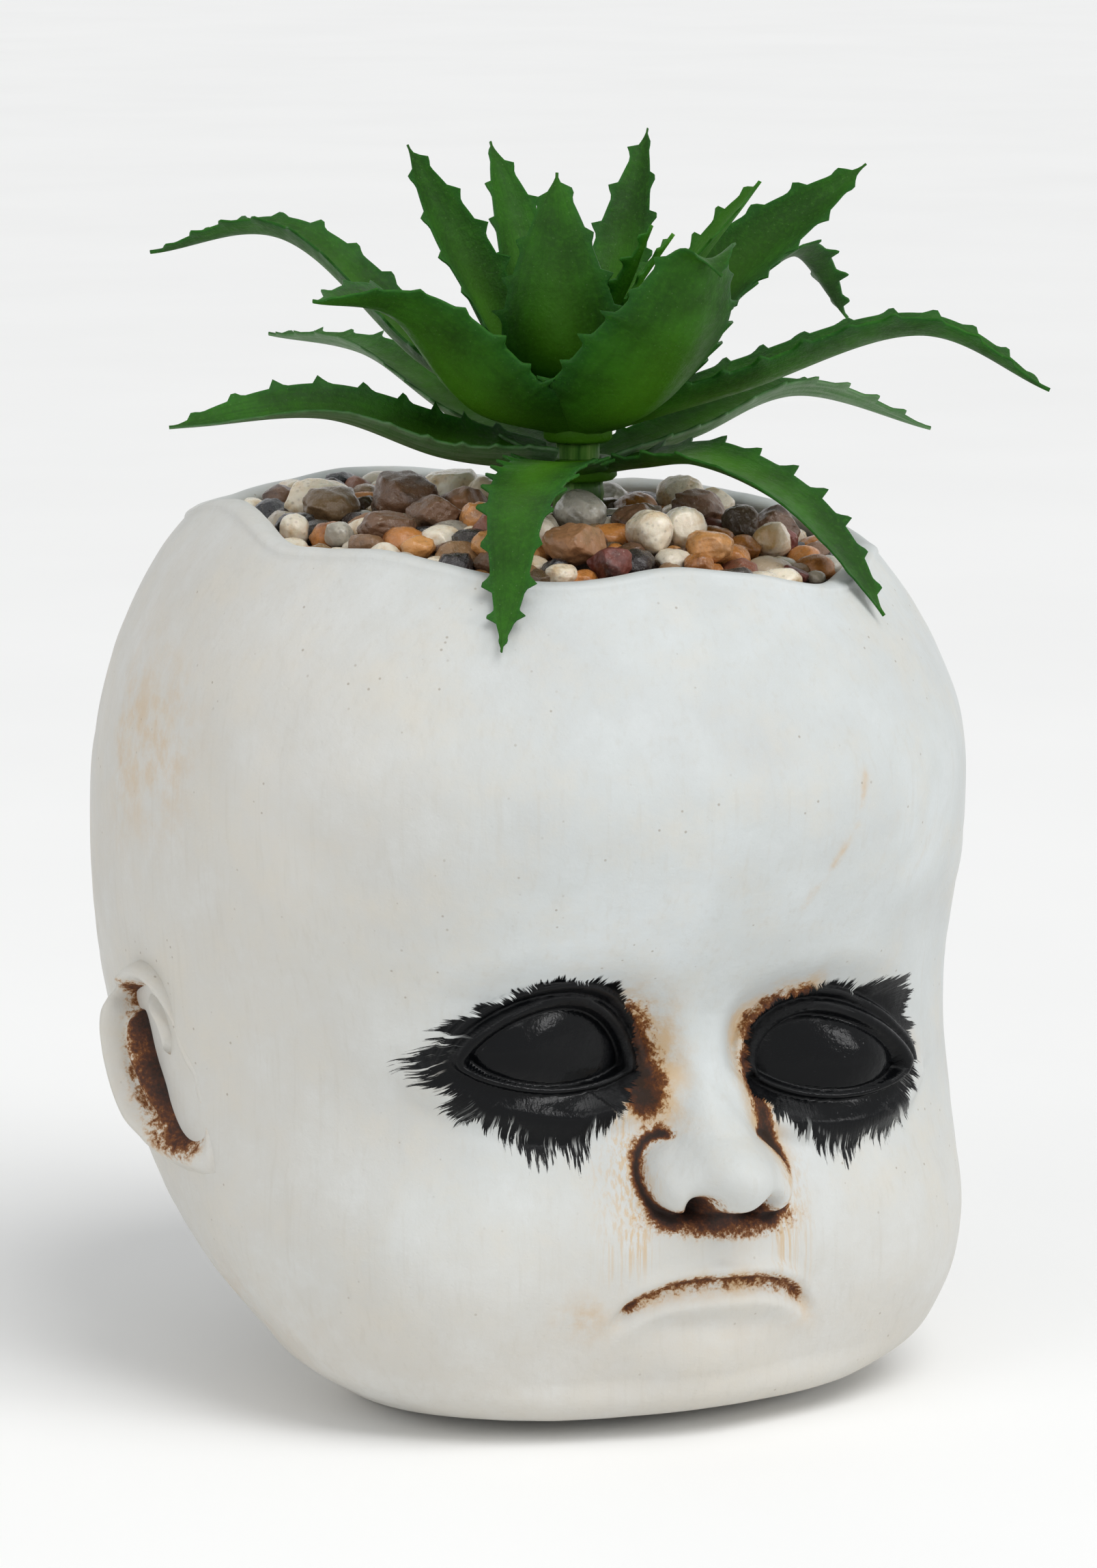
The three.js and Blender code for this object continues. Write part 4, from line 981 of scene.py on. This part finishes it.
def gravel_layer(materials):
    """The glued under-layer: fines, and small stones in every gap that the separate stones leave"""
    rng = np.random.default_rng(LAYER_SEED)
    parts = Parts()
    points, faces = bed_surface()
    parts.add(points, faces, 0, own=np.zeros((len(points), 3)), tone=np.zeros(len(points)))
    taken = [(STEM_X, STEM_Y, STEM_RADIUS + 0.5)]
    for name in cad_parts:
        if name.startswith("pebble_"):
            low, high = (np.array(corner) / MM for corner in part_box(name))
            taken.append((*(low + high)[:2] / 2, float(np.min((high - low)[:2])) / 2))
    for attempt in range(LAYER_TRIES):
        size = LAYER_LARGEST - LAYER_SHRINK * (attempt / LAYER_TRIES) ** 0.4
        spread = math.sqrt(rng.uniform(0, 1))
        turn = rng.uniform(0, 2 * math.pi)
        x = MOUTH_X + MOUTH_HALF_X * LAYER_REACH * spread * math.cos(turn)
        y = MOUTH_Y + MOUTH_HALF_Y * LAYER_REACH * spread * math.sin(turn)
        crowded = any(math.hypot(x - px, y - py) < LAYER_CROWDING * (size + reach) for px, py, reach in taken)
        if crowded or wall_room(x, y, BED_EDGE + 0.5) < 0.98 * size:
            continue
        taken.append((x, y, size))
        kind = LAYER_KINDS[int(rng.integers(len(LAYER_KINDS)))]
        shape = stone_shape(rng, LAYER_LEVEL, STONE_LOOKS[kind][4])
        half = size * np.array([1.12, rng.uniform(0.85, 1.05), rng.uniform(0.62, 0.85)])
        spin = rng.uniform(0, 2 * math.pi)
        turned = shape * half
        px = x + turned[:, 0] * math.cos(spin) - turned[:, 1] * math.sin(spin)
        py = y + turned[:, 0] * math.sin(spin) + turned[:, 1] * math.cos(spin)
        heap = HEAP_RISE * hill((x + 20) / 26, (y - 48) / 11)
        pz = float(bed_height(x, y)) + heap + half[2] * 0.45 + turned[:, 2]
        own, tone = own_values(rng, len(shape))
        slot = 1 + STONE_KINDS.index(kind)
        parts.add(np.stack([px, py, pz], axis=-1), BALLS[LAYER_LEVEL][1], slot, own=own, tone=tone)
    piece = parts.make("gravel_layer", [earth_material()] + [materials[kind] for kind in STONE_KINDS])
    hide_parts("gravel_bed")
    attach(piece, "pot")


# Leaves
def leaf_material(name, deep, fresh):
    s = Shader(name)
    across = s.attribute("across")
    along = s.attribute("along")
    tone = s.attribute("tone")
    flow = {0: s.times(across, 9.0), 1: s.times(along, 5.0), 2: s.times(tone, 40.0)}
    streak = s.noise(1.0, 5, 0.6, s.add("ShaderNodeCombineXYZ", flow).outputs[0])
    green = s.mix(s.step(s.noise(85, 4, 0.6), 0.35, 0.7), linear(deep), linear(fresh))
    green = s.tint(green, streak, 0.35, 0.75, 0.35, "12300A")
    # Lighter yellow-green towards the middle and base of each leaf: partly the leaf's own colour, partly
    # painted glow of light shining through it
    heart_and_glow = s.times(s.step(across, 0.85, 0.1), s.step(along, 0.85, 0.15, 0, 0.6))
    green = s.mix(heart_and_glow, green, linear("4A800E"))
    green = s.tint(green, tone, 0.4, 1.0, 0.4, "4A8A14")
    green = s.tint(green, across, 0.78, 1.0, 0.4, "1E5222")
    pale = s.mix(s.step(streak, 0.3, 0.7), linear("5F8A56"), linear("9DB596"))
    green = s.mix(s.times(s.attribute("under"), 0.6), green, pale)
    green = s.tint(green, s.cells(1100), 0.14, 0.05, 0.2, "7FA06C")
    grain = s.noise(1500, 4, 0.65)
    green = s.tint(green, grain, 0.45, 0.72, 0.22, "3F7A1C")
    s.set(Base_Color=green, Roughness=s.step(s.noise(500, 4, 0.6), 0.3, 0.7, 0.42, 0.6))
    s.set(Specular_IOR_Level=0.13)
    s.set(Subsurface_Weight=0.1, Subsurface_Radius=(0.4, 1.0, 0.2), Subsurface_Scale=0.002)
    ribs = s.bump(streak, 0.2, 0.0005)
    s.set(Normal=s.bump(grain, 0.4, 0.0004, ribs))
    return s.material


def spline(points, t):
    """Points of a smooth curve through a few places, and its directions"""
    points = np.array(points, float)
    steps = np.linalg.norm(np.diff(points, axis=0), axis=1) ** 0.5
    knots = np.concatenate([[0], np.cumsum(steps)]) / np.sum(steps)
    place = np.stack([curve_through(list(zip(knots, points[:, k])))(t) for k in range(3)], axis=-1)
    tangent = np.gradient(place, t, axis=0)
    return place, tangent / np.linalg.norm(tangent, axis=1)[:, None]


LEAF_ACROSS = np.array([-1, -0.97, -0.82, -0.6, -0.35, -0.12, 0.12, 0.35, 0.6, 0.82, 0.97, 1])
STEPS_PER_TOOTH = 9
TOOTH_PITCH = 5.6
TOOTH_HEIGHT = 2.0


def tooth_edge(t, teeth, rng):
    """How far the teeth of one edge stand out, along the leaf"""
    phase = (t * teeth + rng.uniform(0, 0.6)) % 1
    size = 0.7 + 0.6 * rng.uniform(size=teeth + 2)[(t * teeth + 0.6).astype(int)]
    peak = ramp(0.52, 0.93, phase) * (1 - ramp(0.93, 1.0, phase))
    height = TOOTH_HEIGHT * peak ** 1.3 * size * (1 - 0.4 * t)
    return height * ramp(0.02, 0.16, t) * ramp(1.0, 0.93, t)


def leaf_mesh(leaf, seat, start, rng):
    """A channelled, toothed leaf as a thin closed body"""
    turn = math.radians(leaf["turn"])
    outward = np.array([math.cos(turn), math.sin(turn), 0])
    aside = np.array([-math.sin(turn), math.cos(turn), 0])
    spine = leaf.get("spine") or hanging_spine(leaf, seat)
    places = [np.array([STEM_X, STEM_Y, seat + up]) + outward * away
              for away, up in [(start, HUB_THICKNESS / 2)] + spine]
    length = float(np.sum(np.linalg.norm(np.diff(places, axis=0), axis=1)))
    teeth = max(4, round(length / leaf.get("pitch", TOOTH_PITCH)))
    rows = teeth * STEPS_PER_TOOTH + 1
    t = np.linspace(0, 1, rows)
    middle, tangent = spline(places, t)
    twist = np.radians(leaf.get("twist", 0)) * t
    across = aside * np.cos(twist)[:, None] + np.cross(tangent, aside) * np.sin(twist)[:, None]
    above = np.cross(tangent, across)
    neck = leaf.get("neck", 0.6)
    widening = neck + (1.16 - neck) * np.sqrt(t)
    taper = np.maximum((1 - t ** leaf.get("point", 2.3)) * widening * ramp(1.004, 0.9, t) ** 0.35, 0.02)
    half = leaf["width"] / 2 * taper
    left, right = (tooth_edge(t, teeth, rng)[:, None] for _ in range(2))
    shape = LEAF_ACROSS[None, :]
    tooth = np.where(shape < 0, left, right)
    at_edge = ramp(0.8, 1.0, np.abs(shape))
    reach = shape * half[:, None] + np.sign(shape) * tooth * at_edge
    cup = leaf.get("cup", 0.5) * half[:, None] * np.abs(shape) ** 1.7
    tooth_lift = 0.45 * tooth * at_edge
    ripple = 0.35 * np.sin(t * rng.uniform(8, 13) + rng.uniform(0, 6))[:, None] * shape * taper[:, None]
    thick = (1.0 - 0.72 * np.abs(shape) ** 1.5) * 1.15 * (1 - 0.6 * t)[:, None] + 0.16
    lift = cup + tooth_lift + ripple
    surfaces = []
    for sign in (1, -1):
        raised = lift + sign * thick / 2
        spread = middle[:, None, :] + reach[..., None] * across[:, None, :]
        surfaces.append(spread + raised[..., None] * above[:, None, :])
    columns = len(LEAF_ACROSS)
    ring = np.concatenate([surfaces[0], surfaces[1][:, ::-1]], axis=1)
    points = ring.reshape(-1, 3)
    wide = 2 * columns
    faces = grid_faces(rows, wide)[:, ::-1].tolist()
    faces += [list(range(wide)), list(range((rows - 1) * wide, rows * wide))[::-1]]
    both = np.concatenate([np.abs(LEAF_ACROSS), np.abs(LEAF_ACROSS)[::-1]])
    below = np.concatenate([np.zeros(columns), np.ones(columns)])
    tone = np.full(len(points), leaf.get("tone", rng.uniform(0.1, 0.6)))
    under = np.tile(below, rows) * leaf.get("pale", 0.0)
    along = np.repeat(t, wide)
    return points, faces, {"across": np.tile(both, rows), "along": along, "tone": tone, "under": under}


def wall_away(turn, z):
    """Distance from the stem out to the face of the head at a height"""
    angles = np.linspace(-math.pi, math.pi, 2000)
    x, y = section_point(np.full(len(angles), float(z)), angles, 0)
    off = np.abs(np.angle(np.exp(1j * (np.arctan2(y - STEM_Y, x - STEM_X) - turn))))
    best = int(np.argmin(off))
    return math.hypot(x[best] - STEM_X, y[best] - STEM_Y)


def hanging_spine(leaf, seat):
    turn = math.radians(leaf["turn"])
    rim_away = wall_away(turn, CROWN_HEIGHT)
    over = [(rim_away * share, up) for share, up in leaf["over"]]
    hang = [(wall_away(turn, CROWN_HEIGHT - drop) + HANG_GAP, CROWN_HEIGHT - drop - seat)
            for drop in leaf["hang"]]
    return over + hang


def blade(turn, width, tone, spine=None, **form):
    """A leaf: direction, width, tone, spine as ways out and up from its seat, and its other features"""
    return {"turn": turn, "width": width, "tone": tone, "spine": spine, **form}


LOWER_LEAVES = [
    blade(163, 16, 0.25, [(20, 4), (38, 10), (60, 8.5)], pale=0.7, neck=0.8, twist=-25),
    blade(-125, 15.5, 0.1, over=[(0.33, 4), (0.66, 4.5), (0.95, 1)], hang=[2.5, 8.5], cup=0.1, point=1.6),
    blade(-60, 16, 0.35, over=[(0.27, 3), (0.5, 4), (0.8, 0)], hang=[-1, 8], cup=0.25),
    blade(10, 12, 0.3, [(20, 5), (40, 10), (66, 3)], pale=0.9),
    blade(110, 12, 0.3, [(22, 6), (44, 15), (67, 16.5)], pale=0.9),
]
MIDDLE_LEAVES = [
    blade(-170, 24, 0.35, [(18, 6), (32, 20), (46, 23)], neck=0.85),
    blade(-86, 25, 0.35, [(17, 6), (31, 18), (37, 29), (41, 27.5)], neck=0.85),
    blade(-33, 16, 0.15, [(24, 8), (50, 16.5), (69, 8.5)]),
    blade(130, 15, 0.4, [(24, 10), (48, 28), (71, 25)]),
    blade(28, 14, 0.1, [(24, 11), (54, 23.5), (70, 12.5)]),
]
UPPER_LEAVES = [
    blade(-130, 20, 0.3, [(10, 6), (13.5, 18), (12, 34.5)], neck=0.8, cup=0.35),
    blade(-55, 10, 0.85, [(10, 6), (19, 20), (30, 33.5)], twist=50),
    blade(-10, 16, 0.05, [(12, 6), (26, 20), (44, 34)], twist=60),
    blade(45, 12, 0.1, [(11, 6), (20, 20), (31, 38)]),
    blade(95, 14, 0.3, [(10, 6), (17, 20), (26, 36.5)], pale=0.6),
    blade(150, 14, 0.2, [(10, 6), (17, 20), (25, 37.5)], twist=-60),
]
CROWN_LEAVES = [
    blade(-60, 4.5, 0.5, [(5, 6), (9, 13), (13, 21)], pitch=4),
    blade(-20, 4, 0.5, [(5, 6), (9, 12), (14, 19)], pitch=4),
    blade(80, 4, 0.6, [(4, 7), (6, 14), (8, 20)], pitch=4),
    blade(190, 4, 0.7, [(4, 7), (6, 13), (8, 18)], pitch=4),
]


def peg_radius(step):
    return STEM_RADIUS - PEG_STEP * step


def lathe(profile, sides):
    """Points and faces of a closed profile of radii and heights turned about the stem"""
    turn = np.linspace(0, 2 * math.pi, sides, endpoint=False)
    rows = np.array([[(STEM_X + r * math.cos(a), STEM_Y + r * math.sin(a), z) for a in turn]
                     for r, z in profile])
    return rows.reshape(-1, 3), grid_faces(len(profile), sides)


def leaf_whorl(name, node, body, step, leaves, material):
    seat = FIRST_SEAT + SEAT_STEP * step + SEAT_GAP
    hole = peg_radius(step + 1) + FIT
    outer = hole + HUB_WALL
    top = seat + HUB_THICKNESS
    profile = [(hole, seat), (outer - 0.5, seat), (outer, seat + 0.5), (outer, top - 0.6), (outer - 0.6, top),
               (hole, top), (hole, seat)]
    parts = Parts()
    points, faces = lathe(profile, HUB_SIDES)
    flat = np.zeros(len(points))
    parts.add(points, faces, across=flat, along=flat, tone=flat + 0.3, under=flat)
    rng = np.random.default_rng(LEAF_SEED + step)
    for leaf in leaves:
        points, faces, attributes = leaf_mesh(leaf, seat, hole + 0.7, rng)
        parts.add(points, faces, **attributes)
    piece = parts.make(name, [material])
    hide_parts(node)
    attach(piece, body)


# Stem
def stem_material():
    s = Shader("stem_plastic_skin")
    streak = s.noise(1.0, 5, 0.6, s.stretched(900, 900, 60))
    base = s.colours(streak, [(0.3, "2E5A1C"), (0.5, "4C7A2A"), (0.75, "7E9E52")])
    s.set(Base_Color=base, Roughness=s.step(streak, 0.3, 0.7, 0.42, 0.62), Normal=s.bump(streak, 0.4, 0.0006))
    return s.material


def stem_post():
    """Moulded stem with soft rings where leaves were, stepped for the whorls"""
    low, high = (corner.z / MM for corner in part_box("plant_stem"))
    profile = [(0.02, low), (STEM_RADIUS - 1.5, low)]
    for z in np.linspace(low + 3, FIRST_SEAT, 60):
        profile.append((STEM_RADIUS - STEM_RING + STEM_RING * math.sin(z * 1.9), float(z)))
    for step in range(4):
        seat = FIRST_SEAT + SEAT_STEP * step
        profile.append((peg_radius(step + 1), seat))
        profile.append((peg_radius(step + 1), seat + SEAT_STEP if step < 3 else high))
    profile.append((0.02, high))
    points, faces = lathe(profile, STEM_SIDES)
    parts = Parts()
    parts.add(points, faces)
    piece = parts.make("stem_post", [stem_material()])
    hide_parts("plant_stem")
    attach(piece, "plant")


# Hidden pieces keep their frame shapes
def foam_material():
    s = Shader("plant_foam")
    s.set(Base_Color=s.colours(s.noise(400, 4), [(0.3, "2F4A32"), (0.7, "4A6E4C")]), Roughness=0.95)
    s.set(Normal=s.bump(s.cells(1400), 0.8, 0.0004))
    return s.material


def wire_material():
    s = Shader("drawn_wire")
    streak = s.noise(1.0, 4, 0.6, s.stretched(2500, 2500, 40))
    s.set(Base_Color=s.colours(streak, [(0.3, "8A8A88"), (0.7, "B5B5B2")]), Metallic=1.0)
    s.set(Roughness=s.step(streak, 0.3, 0.7, 0.25, 0.45))
    return s.material


def dress_hidden():
    for node, material in (("foam_block", foam_material()), ("stem_wire", wire_material())):
        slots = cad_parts[node].data.materials
        slots.clear()
        slots.append(material)


# Studio
CAMERA_AZIMUTH = -25
CAMERA_ELEVATION = 10
CAMERA_DISTANCE = 0.9
CAMERA_TARGET = Vector((-0.00204, 0.00095, 0.088))
CAMERA_LENS = 141.1


def add_camera():
    azimuth, elevation = math.radians(CAMERA_AZIMUTH), math.radians(CAMERA_ELEVATION)
    back = Vector((math.sin(azimuth) * math.cos(elevation), -math.cos(azimuth) * math.cos(elevation),
                   math.sin(elevation)))
    data = bpy.data.cameras.new("camera")
    data.lens = CAMERA_LENS
    data.sensor_width = 36
    camera = add_object("camera", data)
    camera.location = CAMERA_TARGET + back * CAMERA_DISTANCE
    camera.rotation_euler = (-back).to_track_quat("-Z", "Y").to_euler()
    bpy.context.scene.camera = camera


WORLD_LIGHT = 0.53
WORLD_COLOUR = (0.98, 0.99, 1.0, 1)
FLOOR_REACH = 14000
LAMP_TARGET = Vector((0, 0, 0.08))
LAMPS = [
    # name, kind, place, power, and width of an area lamp or angle of a sun
    ("sun", "SUN", (0.15, -0.5, 0.9), 1.4, 0.65),
    ("key", "AREA", (0.53, -0.79, 0.38), 1.6, 0.24),
    ("left", "AREA", (-0.9, -0.35, 0.4), 1.9, 0.6),
]


def add_light(name, kind, place, power, size):
    """A soft lamp aimed at the object"""
    data = bpy.data.lights.new(name, kind)
    data.energy = power
    if kind == "SUN":
        data.angle = size
    else:
        data.size = size
    light = add_object(name, data)
    light.location = place
    light.rotation_euler = (LAMP_TARGET - Vector(place)).to_track_quat("-Z", "Y").to_euler()


def add_world():
    """Soft light from all round, and white where the camera or a shiny surface sees past the floor"""
    world = bpy.data.worlds.new("studio")
    world.use_nodes = True
    nodes = Nodes(world.node_tree)
    rays = nodes.add("ShaderNodeLightPath").outputs
    seen = rays["Is Camera Ray"]
    for kind in ("Is Glossy Ray", "Is Transmission Ray"):
        seen = nodes.math("MAXIMUM", seen, rays[kind])
    strength = nodes.add("ShaderNodeMapRange", {"Value": seen, "To Min": WORLD_LIGHT, "To Max": 1})
    background = nodes.tree.nodes["Background"]
    nodes.feed(background.inputs["Color"], WORLD_COLOUR)
    nodes.feed(background.inputs["Strength"], strength.outputs[0])
    bpy.context.scene.world = world


def add_floor():
    s = Shader("studio_floor")
    s.set(Base_Color=s.colours(s.noise(6, 3), [(0.3, "F7F7F6"), (0.7, "FAFAF9")]), Roughness=0.9)
    corners = [(x * FLOOR_REACH, y * FLOOR_REACH, 0) for x, y in ((-1, -1), (1, -1), (1, 1), (-1, 1))]
    parts = Parts()
    parts.add(corners, [(0, 1, 2, 3)])
    floor = parts.make("studio_floor", [s.material])


def add_studio():
    add_camera()
    add_world()
    add_floor()
    for lamp in LAMPS:
        add_light(*lamp)
    bpy.context.scene.view_settings.view_transform = "Standard"


# Assembly
stone_materials = {kind: stone_material(kind) for kind in STONE_KINDS}
head = head_casting(resin_material())
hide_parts("head_pot")
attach(head, "pot")
gravel_layer(stone_materials)
separate_stones(stone_materials)
leaf_green = leaf_material("leaf_green", "1E420C", "2F6216")
young_green = leaf_material("young_leaf_green", "2C6412", "4A861C")
leaf_whorl("lower_leaves", "lower_leaf_whorl", "plant", 0, LOWER_LEAVES, leaf_green)
leaf_whorl("middle_leaves", "middle_leaf_whorl", "middle_whorl", 1, MIDDLE_LEAVES, leaf_green)
leaf_whorl("upper_leaves", "upper_leaf_whorl", "upper_whorl", 2, UPPER_LEAVES, leaf_green)
leaf_whorl("crown_leaves", "crown_leaf_whorl", "crown_whorl", 3, CROWN_LEAVES, young_green)
stem_post()
dress_hidden()
add_studio()
